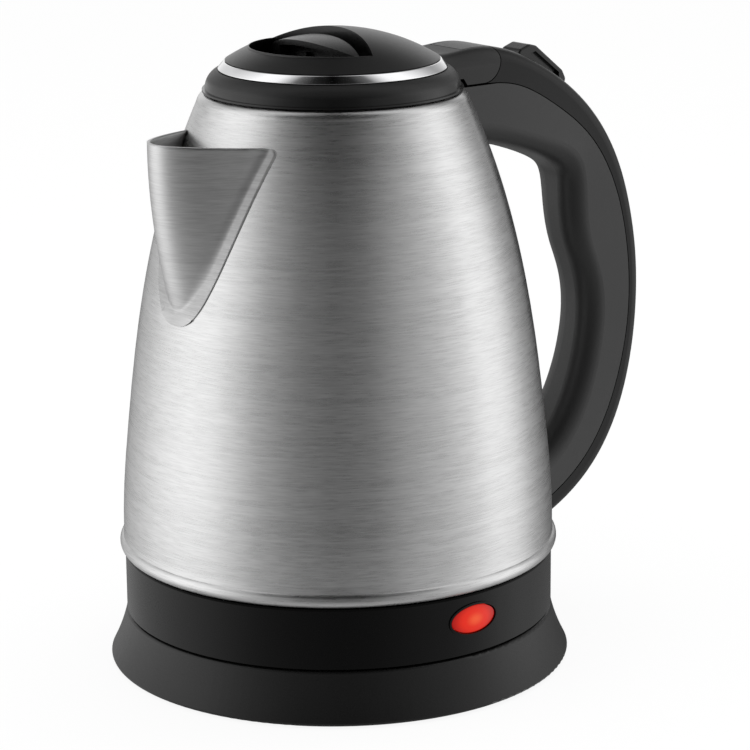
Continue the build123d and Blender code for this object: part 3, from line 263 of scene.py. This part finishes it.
def rounded_loop(corners, reach, steps):
    """Closed outline with rounded corners: at each corner a quadratic curve from a point at a reach before
    it to a point as far after it."""
    corners = np.asarray(corners)
    before = np.roll(corners, 1, axis=0) - corners
    after = np.roll(corners, -1, axis=0) - corners
    start = corners + reach * before / np.linalg.norm(before, axis=1, keepdims=True)
    end = corners + reach * after / np.linalg.norm(after, axis=1, keepdims=True)
    t = np.linspace(0.0, 1.0, steps)[None, :, None]
    curve = (1 - t) ** 2 * start[:, None] + 2 * t * (1 - t) * corners[:, None] + t ** 2 * end[:, None]
    outline = curve.reshape(-1, 2)
    return np.vstack([outline, outline[:1]])


# Colours

def grey(level):
    """Neutral colour of one level."""
    return (level, level, level)


def scaled(colour, share):
    """Colour with a share of its brightness."""
    return tuple(share * channel for channel in colour)


def opaque(colour):
    """Colour as sockets take it, with full cover."""
    return (*colour, 1.0)


# Node helpers

def feed(tree, node, sockets):
    """Set each named or numbered socket of a node to a plain value, or link it to another node's socket."""
    for name, value in sockets.items():
        if isinstance(value, bpy.types.NodeSocket):
            tree.links.new(value, node.inputs[name])
        else:
            node.inputs[name].default_value = value


def add(tree, kind, sockets=None, **properties):
    """New node with its properties set and its sockets fed."""
    node = tree.nodes.new(kind)
    for name, value in properties.items():
        setattr(node, name, value)
    feed(tree, node, sockets or {})
    return node


def new_material(name):
    """Material with its node tree and its shader."""
    material = bpy.data.materials.new(name)
    material.use_nodes = True
    return material, material.node_tree, material.node_tree.nodes["Principled BSDF"]


def object_place(tree):
    """Place on the piece, in Object coordinates."""
    return add(tree, "ShaderNodeTexCoord").outputs["Object"]


def noise(tree, stretch, detail, harshness=0.5):
    """Noise on Object coordinates that are stretched by a factor for each axis."""
    mapping = add(tree, "ShaderNodeMapping", {"Vector": object_place(tree), "Scale": stretch})
    node = add(tree, "ShaderNodeTexNoise", {
        "Vector": mapping.outputs["Vector"], "Scale": 1.0, "Detail": detail, "Roughness": harshness})
    return node.outputs["Fac"]


def calculate(tree, operation, *values):
    """Number worked out from plain numbers or sockets."""
    return add(tree, "ShaderNodeMath", dict(enumerate(values)), operation=operation).outputs["Value"]


def remap(tree, value, start, end, low, high):
    """Value moved from the range of start and end to that of low and high, and held there."""
    node = add(tree, "ShaderNodeMapRange", {
        "Value": value, "From Min": start, "From Max": end, "To Min": low, "To Max": high})
    return node.outputs["Result"]


def spread(tree, pattern, low, high):
    """Noise moved to a range."""
    return remap(tree, pattern, *noise_range, low, high)


def fade(tree, value, start, end):
    """Share that is 0 up to the start and 1 from the end on."""
    return remap(tree, value, start, end, 0.0, 1.0)


def blend_colours(tree, factor, first, second):
    """Colour between two, each a plain colour or a socket, by a factor."""
    node = add(tree, "ShaderNodeMix", {"Factor": factor, "A": first, "B": second}, data_type="RGBA")
    return node.outputs["Result"]


def colour_ramp(tree, share, stops, interpolation="LINEAR"):
    """Colour by a share, from pairs of place and colour."""
    node = add(tree, "ShaderNodeValToRGB", {"Fac": share})
    node.color_ramp.interpolation = interpolation
    marks = node.color_ramp.elements
    for mark, (place, colour) in zip(marks, (stops[0], stops[-1])):
        mark.position = place
        mark.color = opaque(colour)
    for place, colour in stops[1:-1]:
        marks.new(place).color = opaque(colour)
    return node.outputs["Color"]


def relief(tree, height, strength, depth):
    """Normal of a small relief."""
    node = add(tree, "ShaderNodeBump", {"Height": height, "Strength": strength, "Distance": depth})
    return node.outputs["Normal"]


# Materials

def tangent_round_axis(tree):
    """Direction of the brushing: the axis crossed with the place on the piece."""
    around = add(tree, "ShaderNodeVectorMath", {0: (0.0, 0.0, 1.0), 1: object_place(tree)},
                 operation="CROSS_PRODUCT")
    in_world = add(tree, "ShaderNodeVectorTransform", {"Vector": around.outputs["Vector"]},
                   vector_type="VECTOR", convert_from="OBJECT", convert_to="WORLD")
    return in_world.outputs["Vector"]


def brushed_steel(name, tone, streak, roughness, satin_roughness=None):
    """Stainless steel with fine streaks round the axis: noise stretched along the brushing, which changes
    tone, roughness and relief, and a highlight that spreads across the streaks. Where the piece says satin,
    it is duller."""
    material, tree, shader = new_material(name)
    fine = noise(tree, streak_stretch, streak_detail, streak_harshness)
    broad = noise(tree, broad_streak_stretch, broad_streak_detail)
    streaks = calculate(tree, "ADD", fine, spread(tree, broad, -broad_streak_share, broad_streak_share))
    rough = spread(tree, streaks, (1.0 - steel_roughness_spread) * roughness,
                   (1.0 + steel_roughness_spread) * roughness)
    if satin_roughness:
        satin = add(tree, "ShaderNodeAttribute", attribute_name=satin_attribute)
        duller = add(tree, "ShaderNodeMix", {
            "Factor": satin.outputs["Fac"], "A": rough, "B": satin_roughness}, data_type="FLOAT")
        rough = duller.outputs["Result"]
    feed(tree, shader, {
        "Base Color": blend_colours(tree, spread(tree, streaks, 0.0, 1.0),
                                    opaque(grey(tone - streak)), opaque(grey(tone + streak))),
        "Roughness": rough,
        "Metallic": 1.0,
        "Anisotropic": steel_anisotropy,
        "Anisotropic Rotation": steel_anisotropy_turn,
        "Normal": relief(tree, streaks, *steel_relief),
        "Tangent": tangent_round_axis(tree),
    })
    return material


def moulded_plastic(name, tone, roughness, grain, gloss):
    """Moulding: fine grain in relief and roughness over a slightly uneven tone."""
    material, tree, shader = new_material(name)
    fine = noise(tree, grain_stretch, grain_detail)
    cloud = noise(tree, cloud_stretch, cloud_detail)
    dark = grey((1.0 - cloud_tone_spread) * tone)
    light = grey((1.0 + cloud_tone_spread) * tone)
    feed(tree, shader, {
        "Base Color": blend_colours(tree, cloud, opaque(dark), opaque(light)),
        "Roughness": spread(tree, fine, roughness + grain_roughness[0], roughness + grain_roughness[1]),
        "Specular IOR Level": gloss,
        "Normal": relief(tree, fine, grain, grain_depth),
    })
    return material


def two_zone_plastic(name, place, gloss, first, second):
    """Black moulding in two zones, each a tone and a roughness: the first where the place value is 0,
    the second where it is 1. The place is a function that adds its nodes to the tree. On the lid's shoulder
    the zones are two real finishes; on the lid cap the darker first zone is painted shade in the finger
    recess."""
    material, tree, shader = new_material(name)
    share = place(tree)
    fine = noise(tree, grain_stretch, grain_detail)
    even = remap(tree, share, 0.0, 1.0, first[1], second[1])
    uneven = spread(tree, fine, 1.0 - two_zone_roughness_spread, 1.0 + two_zone_roughness_spread)
    feed(tree, shader, {
        "Base Color": blend_colours(tree, share, opaque(grey(first[0])), opaque(grey(second[0]))),
        "Roughness": calculate(tree, "MULTIPLY", even, uneven),
        "Specular IOR Level": gloss,
        "Normal": relief(tree, fine, two_zone_grain, grain_depth),
    })
    return material


def above_shoulder_band(tree):
    """0 on the polished band at the lid's foot, 1 on the satin slope above it."""
    parts = add(tree, "ShaderNodeSeparateXYZ", {"Vector": object_place(tree)})
    return fade(tree, parts.outputs["Z"], *shoulder_band)


def outside_recess_shade(tree):
    """0 inside the finger recess, where the moulding is painted darker as shade, 1 on the dome, by the
    distance from the dome's middle.
    """
    middle = (0.0, 0.0, dome_centre_height)
    from_middle = add(tree, "ShaderNodeVectorMath", {0: object_place(tree), 1: middle}, operation="DISTANCE")
    start, end = (dome_radius - depth for depth in recess_shade_depths)
    return fade(tree, from_middle.outputs["Value"], start, end)


def polished_metal(name, colour, roughness):
    """Bright metal with faint wipe marks in its tone and gloss."""
    material, tree, shader = new_material(name)
    marks = noise(tree, wipe_stretch, wipe_detail)
    feed(tree, shader, {
        "Base Color": blend_colours(tree, marks, opaque(scaled(colour, wipe_tone)), opaque(colour)),
        "Roughness": spread(tree, marks, wipe_roughness[0] * roughness, wipe_roughness[1] * roughness),
        "Metallic": 1.0,
    })
    return material


def soft_material(name, colour, roughness):
    """Rubber or silicone: dull, with a slightly dusty unevenness."""
    material, tree, shader = new_material(name)
    dust = noise(tree, dust_stretch, dust_detail)
    dark, light = (scaled(colour, share) for share in dust_tones)
    smooth = roughness - dust_roughness_spread
    rough = roughness + dust_roughness_spread
    feed(tree, shader, {
        "Base Color": blend_colours(tree, dust, opaque(dark), opaque(light)),
        "Roughness": spread(tree, dust, smooth, rough),
        "Normal": relief(tree, dust, *dust_relief),
    })
    return material


def lit_lens(name, centre):
    """Red lens that glows: orange in the middle, where the lamp is behind it, and deep red at its rim, by
    the distance from its centre as a share of the glow's reach."""
    material, tree, shader = new_material(name)
    from_centre = add(tree, "ShaderNodeMapping", {
        "Vector": object_place(tree), "Location": centre, "Scale": glow_reach}, vector_type="TEXTURE")
    distance = add(tree, "ShaderNodeVectorMath", {0: from_centre.outputs["Vector"]}, operation="LENGTH")
    feed(tree, shader, {
        "Emission Color": colour_ramp(tree, distance.outputs["Value"], glow_colours, "EASE"),
        "Emission Strength": glow_strength,
        "Base Color": opaque(lens_colour),
        "Roughness": lens_roughness,
        "Specular IOR Level": lens_gloss,
    })
    return material


steel = brushed_steel("steel_brushed_round", tone=0.56, streak=0.065, roughness=0.30)
spout_steel = brushed_steel("steel_brushed_spout", tone=0.56, streak=0.065, roughness=0.42,
                            satin_roughness=0.62)
plain_steel = brushed_steel("steel_inner_sheet", tone=0.50, streak=0.04, roughness=0.34)
base_black = moulded_plastic("moulding_base_black", tone=0.005, roughness=0.32, grain=0.05, gloss=0.30)
housing_black = moulded_plastic("moulding_housing_black", tone=0.001, roughness=0.24, grain=0.03, gloss=0.17)
handle_black = moulded_plastic("moulding_handle_black", tone=0.008, roughness=0.42, grain=0.20, gloss=0.55)
cover_black = moulded_plastic("moulding_cover_black", tone=0.003, roughness=0.34, grain=0.08, gloss=0.22)
rocker_black = moulded_plastic("moulding_rocker_black", tone=0.003, roughness=0.24, grain=0.05, gloss=0.40)
# Lid cap: the darker tone and slightly lower roughness inside the finger recess are painted shade; the dome
# keeps its own satin black
lid_black = two_zone_plastic("moulding_lid_black_recess_shade", outside_recess_shade, gloss=0.45,
                               first=(0.0003, 0.30), second=(0.005, 0.34))
latch_black = moulded_plastic("moulding_latch_black", tone=0.003, roughness=0.30, grain=0.05, gloss=0.42)
shoulder_black = two_zone_plastic("moulding_lid_shoulder", above_shoulder_band, gloss=0.38,
                                    first=(0.001, 0.14), second=(0.007, 0.45))
chrome = polished_metal("chrome_trim", colour=(0.88, 0.88, 0.89), roughness=0.10)
zinc = polished_metal("zinc_plated_steel", colour=(0.60, 0.61, 0.62), roughness=0.28)
brass = polished_metal("brass_contact", colour=(0.80, 0.60, 0.28), roughness=0.22)
aluminium = polished_metal("aluminium_cast", colour=(0.62, 0.62, 0.61), roughness=0.38)
pale_plastic = moulded_plastic("moulding_control_pale", tone=0.62, roughness=0.45, grain=0.08, gloss=0.5)
rubber = soft_material("rubber_foot", colour=grey(0.035), roughness=0.75)
silicone = soft_material("silicone_seal", colour=(0.70, 0.70, 0.67), roughness=0.5)
insulation = soft_material("lead_insulation", colour=(0.42, 0.05, 0.04), roughness=0.45)
neon = moulded_plastic("neon_glass", tone=0.5, roughness=0.15, grain=0.02, gloss=0.5)

lens_low, lens_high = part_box("lamp_lens")
lens_centre = tuple(0.5 * (lens_low + lens_high))
lens = lit_lens("lens_lit_red", lens_centre)

finishes = {
    steel: ["body_shell"],
    spout_steel: ["spout"],
    plain_steel: ["spout_filter", "heating_plate", "upper_bracket", "lower_bracket"],
    base_black: ["base_skirt", "base_plate", "base_socket", "cord_inlet_bush", "coupler_housing",
                 "mouth_collar", "lid_liner"],
    housing_black: ["bottom_housing"],
    handle_black: ["handle_grip"],
    cover_black: ["handle_cover"],
    rocker_black: ["switch_rocker"],
    lid_black: ["lid_cap"],
    latch_black: ["lid_latch"],
    shoulder_black: ["lid_frame"],
    chrome: ["lid_trim_ring"],
    zinc: ["base_screws", "housing_screws", "handle_screws", "hinge_pin", "latch_spring", "lid_screws"],
    brass: ["socket_contacts", "coupler_contacts"],
    aluminium: ["heating_element"],
    pale_plastic: ["lamp_holder", "control_thermostat", "steam_switch"],
    rubber: ["base_feet"],
    silicone: ["lid_seal"],
    insulation: ["switch_leads"],
    neon: ["pilot_lamp"],
    lens: ["lamp_lens"],
}
for material, names in finishes.items():
    for name in names:
        nodes[name].data.materials.clear()
        nodes[name].data.materials.append(material)


# Pieces shaped here

def dress(piece, body, material, node=None):
    """Put a piece on its body, if it rides on one, with its finish, and let it stand for a named node."""
    piece.data.materials.append(material)
    if body:
        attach(piece, body)
    if node:
        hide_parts(node)


def trim_ring():
    """Sloping bright ring: a four-cornered outline with rounded corners, turned about the axis."""
    inner = ring_top[0] - ring_wall
    corners = [ring_foot, ring_top, (inner, ring_top[1]), (inner, ring_foot[1])]
    outline = rounded_loop(corners, ring_round, ring_corner_points)
    return grid_object("trim_ring", turned(outline[:, :1], full_turn(ring_points), outline[:, 1:]))


def lamp_dome():
    """Oval lens on the round housing: rows go from the middle of the dome over its rim and back behind it,
    and stand off the housing by the bulge times one minus the square of their share of the oval."""
    front = np.sin(np.linspace(0.0, 0.5 * math.pi, lens_rows))
    share = np.concatenate([front, [1.0], [0.0]])[:, None]
    stand = np.concatenate([lens_bulge * (1.0 - front ** 2), [-lens_depth], [-lens_depth]])[:, None]
    turn = full_turn(lens_points)
    x = share * lens_half_width * np.cos(turn)
    z = lens_centre[2] + share * lens_half_height * np.sin(turn)
    y = -np.sqrt(housing_radius ** 2 - x ** 2) - stand
    return grid_object("lamp_dome", np.stack([x, y, z], axis=-1))


def recess_lip():
    """Fine bead along the front edge of the finger recess: a round section along an arc that lies on the
    dome, thinner towards its ends by a power of the sine of its share of the arc."""
    corner_y = math.sqrt(recess_radius ** 2 - recess_corner_x ** 2)
    end = math.atan2(corner_y, recess_corner_x)
    turn = np.linspace(end, 2.0 * math.pi - end, lip_points)[:, None]
    thin = lip_radius * np.sin(np.linspace(0.0, math.pi, lip_points))[:, None] ** lip_taper
    around = full_turn(lip_section_points)
    radius = recess_radius + thin * np.cos(around)
    level = dome_centre_height + np.sqrt(dome_radius ** 2 - radius ** 2) + thin * np.sin(around)
    return grid_object("recess_lip", turned(radius, turn, level))


def body_radius(height):
    """Radius of the steel body at heights: cubic pieces through the points of its profile, which meet with
    the same slope and bend, upright at the foot and sloping at the neck."""
    radius, level = body_points.T
    step = np.diff(level)
    rise = np.diff(radius) / step
    inner = np.arange(1, level.size - 1)
    matrix = np.eye(level.size)
    matrix[inner, inner - 1] = step[1:]
    matrix[inner, inner] = 2.0 * (step[1:] + step[:-1])
    matrix[inner, inner + 1] = step[:-1]
    wanted = 3.0 * (step[1:] * rise[:-1] + step[:-1] * rise[1:])
    slope = np.linalg.solve(matrix, np.concatenate([[0.0], wanted, [-neck_slope]]))
    low = np.clip(np.searchsorted(level, height) - 1, 0, level.size - 2)
    t = (height - level[low]) / step[low]
    start = (1 + 2 * t) * (1 - t) ** 2 * radius[low] + t * (1 - t) ** 2 * step[low] * slope[low]
    return start + t ** 2 * (3 - 2 * t) * radius[low + 1] + t ** 2 * (t - 1) * step[low] * slope[low + 1]


def blended_top(first, second, blend):
    """Larger of two surfaces, with a round where they cross: a quarter of the blend there, and less with the
    square of their distance up to a whole blend."""
    near = np.clip(1.0 - np.abs(first - second) / blend, 0.0, None)
    return np.maximum(first, second) + 0.25 * blend * near ** 2


def nose_share(side, bend):
    """Plan of the spout: a hyperbola from 1 at the nose to 0 at the joint, rounder with more bend."""
    return 1.0 - (np.sqrt(side ** 2 + bend ** 2) - bend) / (np.sqrt(1.0 + bend ** 2) - bend)


def vee_half_width(height, foot, half_width, power):
    """Half width of an outline that opens upwards with a power of the height above its foot."""
    return half_width * np.clip((height - foot) / (spout_top - foot), 0.0, None) ** power


def spout_distance(y, height, inset):
    """Distance of the spout's sheet from the plane through the axis, drawn in by an inset: from the joint on
    the round body to a tip that draws in with the square of the way down, shared out by the nose's plan."""
    half = vee_half_width(height, spout_foot, spout_half_width, spout_power) - spout_side_inset * inset
    half = np.maximum(half, spout_least_half_width)
    part_down = np.clip((spout_top - height) / (spout_top - spout_foot), 0.0, 1.0)
    reach = body_radius(spout_top) + spout_projection
    foot_reach = body_radius(spout_foot) + spout_foot_projection
    tip = reach - (reach - foot_reach) * part_down ** 2 - inset
    joint = np.sqrt(body_radius(height) ** 2 - half ** 2)
    depth = np.clip(tip - joint, 0.0, None)
    return joint + depth * nose_share(np.abs(y) / half, nose_bend + nose_bend_growth * part_down)


def spout_edge(across):
    """Height of the top edge across the front: it rises to the tip with the nose's plan, and the flange's
    corners are quarter circles."""
    y = np.abs(across) * flange_half_width
    rise = np.clip(nose_share(y / spout_half_width, nose_bend), 0.0, None)
    edge = spout_top - spout_end_drop + (spout_tip_lift + spout_end_drop) * rise
    corner = np.clip(y - flange_half_width + flange_corner, 0.0, None)
    return edge - flange_corner + np.sqrt(flange_corner ** 2 - corner ** 2)


def there_and_back(front, back):
    """Columns across the front and back again behind it."""
    return np.concatenate([front, back[:, ::-1]], axis=1)


def folded_spout():
    """Spout with its flange, a thick sheet over its front view: rows go up from the flange's foot, columns
    go across the outside and back across the inside, and a last row closes the top edge. Each point stands
    at the larger of two distances, blended: that of the flange on the round body and that of the spout."""
    across = np.linspace(-1.0, 1.0, spout_columns)
    share = np.linspace(0.0, 1.0, spout_rows)[:, None] ** spout_row_power
    z = flange_foot + share * (spout_edge(across) - flange_foot)
    flange_half = vee_half_width(z, flange_foot, flange_half_width, flange_power)
    y = across * flange_half
    from_edge = np.clip((1.0 - np.abs(across)) * flange_half / flange_round, 0.0, 1.0)
    thickness = flange_thickness * np.sqrt(1.0 - (1.0 - from_edge) ** 2)
    skin = body_radius(z) + flange_gap
    flange_outside = np.sqrt((skin + thickness) ** 2 - y ** 2)
    flange_inside = np.sqrt(skin ** 2 - y ** 2)
    spout_outside = spout_distance(y, z, 0.0)
    blend = joint_blend * np.clip((z - spout_foot) / joint_blend_rise, joint_blend_least, 1.0)
    outside = blended_top(flange_outside, spout_outside, blend)
    inside = np.maximum(flange_inside, spout_distance(y, z, spout_wall))
    inside = np.minimum(inside, outside)
    front = np.stack([-outside, y, z], axis=-1)
    back = np.stack([-inside, y, z], axis=-1)
    middle = 0.5 * (front[-1:] + back[-1:])
    grid = there_and_back(np.concatenate([front, middle]), np.concatenate([back, middle]))
    satin = np.clip(0.5 + (flange_outside - spout_outside) / joint_blend, 0.0, 1.0)
    satin = np.concatenate([satin, satin[-1:]])
    return grid_object("folded_spout", grid, there_and_back(satin, satin))


def latch_coil():
    """Spring behind the latch: a round wire carried along a helix, pinched shut at both ends. It is pressed
    together between the lid and the latch."""
    low, high = (np.array(corner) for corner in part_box("latch_spring"))
    middle = 0.5 * (low + high)
    share = np.linspace(0.0, 1.0, spring_points)
    share = np.concatenate([[0.0], share, [1.0]])[:, None]
    wire = np.full(share.shape, spring_wire_radius)
    wire[[0, -1]] = 0.0
    turn = 2.0 * math.pi * spring_turns * share
    around = full_turn(wire_section_points)
    radius = 0.5 * (high[1] - low[1]) - spring_wire_radius + wire * np.cos(around)
    start = low[0] + spring_wire_radius
    run = high[0] - low[0] - 2.0 * spring_wire_radius
    x = start + run * share + wire * np.sin(around)
    y = middle[1] + radius * np.cos(turn)
    z = middle[2] + radius * np.sin(turn)
    coil = grid_object("latch_coil", np.stack([x, y, z], axis=-1))
    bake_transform(coil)
    return coil


dress(trim_ring(), "lid", chrome, "lid_trim_ring")
dress(lamp_dome(), "kettle", lens, "lamp_lens")
dress(recess_lip(), "lid", lid_black)
dress(folded_spout(), "kettle", spout_steel, "spout")
dress(latch_coil(), None, zinc, "latch_spring")


# Stage: floor, light and camera

def from_camera_side(angle, distance, height):
    """Point seen from the kettle at an angle to the right of the camera's direction."""
    turn = camera_azimuth - math.radians(angle)
    return Vector((-distance * math.sin(turn), -distance * math.cos(turn), height))


def stage_material(name):
    """Material with its node tree and the socket of its surface, without a shader."""
    material, tree, shader = new_material(name)
    tree.nodes.remove(shader)
    return material, tree, tree.nodes["Material Output"].inputs["Surface"]


def seen_as_background(tree):
    """1 for rays from the camera and for mirrored and refracted rays, 0 for others."""
    rays = add(tree, "ShaderNodeLightPath").outputs
    either = calculate(tree, "MAXIMUM", rays["Is Camera Ray"], rays["Is Glossy Ray"])
    return calculate(tree, "MAXIMUM", either, rays["Is Transmission Ray"])


def white_world():
    """White background, with less light from it on dull surfaces."""
    world = bpy.data.worlds.new("studio")
    scene.world = world
    world.use_nodes = True
    tree = world.node_tree
    feed(tree, tree.nodes["Background"], {
        "Color": opaque(grey(1.0)),
        "Strength": remap(tree, seen_as_background(tree), 0.0, 1.0, ambient_light, 1.0),
    })


def white_floor():
    """Pale floor that shows white and keeps a share of its shading, so that the shadow stays."""
    signs = ((-1, -1), (1, -1), (1, 1), (-1, 1))
    mesh = bpy.data.meshes.new("floor")
    mesh.from_pydata([(x * floor_half_size, y * floor_half_size, 0.0) for x, y in signs], [], [(0, 1, 2, 3)])
    floor = bpy.data.objects.new("floor", mesh)
    scene.collection.objects.link(floor)
    floor.visible_glossy = False
    material, tree, surface = stage_material("floor_white")
    dull = add(tree, "ShaderNodeBsdfDiffuse", {"Color": opaque(grey(floor_tone))})
    glow = add(tree, "ShaderNodeEmission", {"Strength": floor_glow})
    factor = remap(tree, seen_as_background(tree), 0.0, 1.0, 0.0, 1.0 - floor_shade)
    mix = add(tree, "ShaderNodeMixShader", {0: factor, 1: dull.outputs["BSDF"], 2: glow.outputs["Emission"]})
    tree.links.new(mix.outputs["Shader"], surface)
    mesh.materials.append(material)


def soft_box(name, angle, distance, height, width, upright, power):
    """Large soft lamp turned towards the kettle."""
    lamp = bpy.data.lights.new(name, "AREA")
    lamp.shape = "RECTANGLE"
    lamp.size = width
    lamp.size_y = upright
    lamp.energy = power
    holder = bpy.data.objects.new(name, lamp)
    holder.location = from_camera_side(angle, distance, height)
    holder.rotation_mode = "QUATERNION"
    holder.rotation_quaternion = (soft_box_aim - holder.location).to_track_quat("-Z", "Y")
    holder.visible_glossy = False
    scene.collection.objects.link(holder)


def surround_colour(tree):
    """Tone of the studio walls: a ramp round the axis, which gives way to the ground below, to the back wall
    behind the kettle and to a second ramp overhead."""
    shrink = 1.0 / surround_radius
    facing = add(tree, "ShaderNodeMapping", {
        "Vector": object_place(tree), "Rotation": (0.0, 0.0, camera_azimuth),
        "Scale": (shrink, shrink, shrink)})
    parts = add(tree, "ShaderNodeSeparateXYZ", {"Vector": facing.outputs["Vector"]}).outputs
    angle = calculate(tree, "ARCTAN2", parts["X"], calculate(tree, "MULTIPLY", parts["Y"], -1.0))
    from_camera = calculate(tree, "ABSOLUTE", angle)
    height = parts["Z"]
    wall_stops = [(place, grey(tone)) for place, tone in surround_tones]
    ceiling_stops = [(place, grey(tone)) for place, tone in ceiling_tones]
    walls = colour_ramp(tree, fade(tree, angle, -math.pi, math.pi), wall_stops)
    ceiling = colour_ramp(tree, fade(tree, from_camera, 0.0, math.pi), ceiling_stops)
    behind = calculate(tree, "MULTIPLY", fade(tree, from_camera, *back_wall_angles),
                       fade(tree, height, *back_wall_fade))
    colour = blend_colours(tree, fade(tree, height, *ground_fade), opaque(grey(ground_tone)), walls)
    colour = blend_colours(tree, behind, colour, opaque(grey(back_wall_tone)))
    return blend_colours(tree, fade(tree, height, *ceiling_fade), colour, ceiling)


def studio_surround():
    """Sphere of studio walls that only mirrored light meets: dark behind the camera, bright boxes to both
    sides, grey behind the kettle and on the ground, and overhead only the sides are bright."""
    tilt = np.linspace(-0.5 * math.pi, 0.5 * math.pi, surround_rows)[:, None]
    grid = surround_radius * turned(np.cos(tilt), full_turn(surround_points), np.sin(tilt))
    wall = grid_object("studio_surround", grid)
    for ray in ("camera", "diffuse", "transmission", "volume_scatter", "shadow"):
        setattr(wall, "visible_" + ray, False)
    material, tree, surface = stage_material("studio_surround")
    glow = add(tree, "ShaderNodeEmission", {"Color": surround_colour(tree), "Strength": surround_strength})
    tree.links.new(glow.outputs["Emission"], surface)
    wall.data.materials.append(material)


def photo_camera():
    """Camera at the photograph's place, turned by heading, tilt and a slight roll."""
    data = bpy.data.cameras.new("camera")
    data.lens = camera_lens
    data.sensor_width = sensor_width
    data.clip_start, data.clip_end = camera_clip
    holder = bpy.data.objects.new("camera", data)
    heading = Matrix.Rotation(-(camera_azimuth + camera_yaw), 4, "Z")
    tilt = Matrix.Rotation(0.5 * math.pi - camera_pitch, 4, "X")
    roll = Matrix.Rotation(camera_roll, 4, "Z")
    place = Matrix.Translation(from_camera_side(0.0, camera_ground_distance, camera_height))
    holder.matrix_world = place @ heading @ tilt @ roll
    scene.collection.objects.link(holder)
    scene.camera = holder


white_world()
white_floor()
for soft_box_values in soft_boxes:
    soft_box(*soft_box_values)
studio_surround()
photo_camera()

scene.view_settings.view_transform = "Standard"
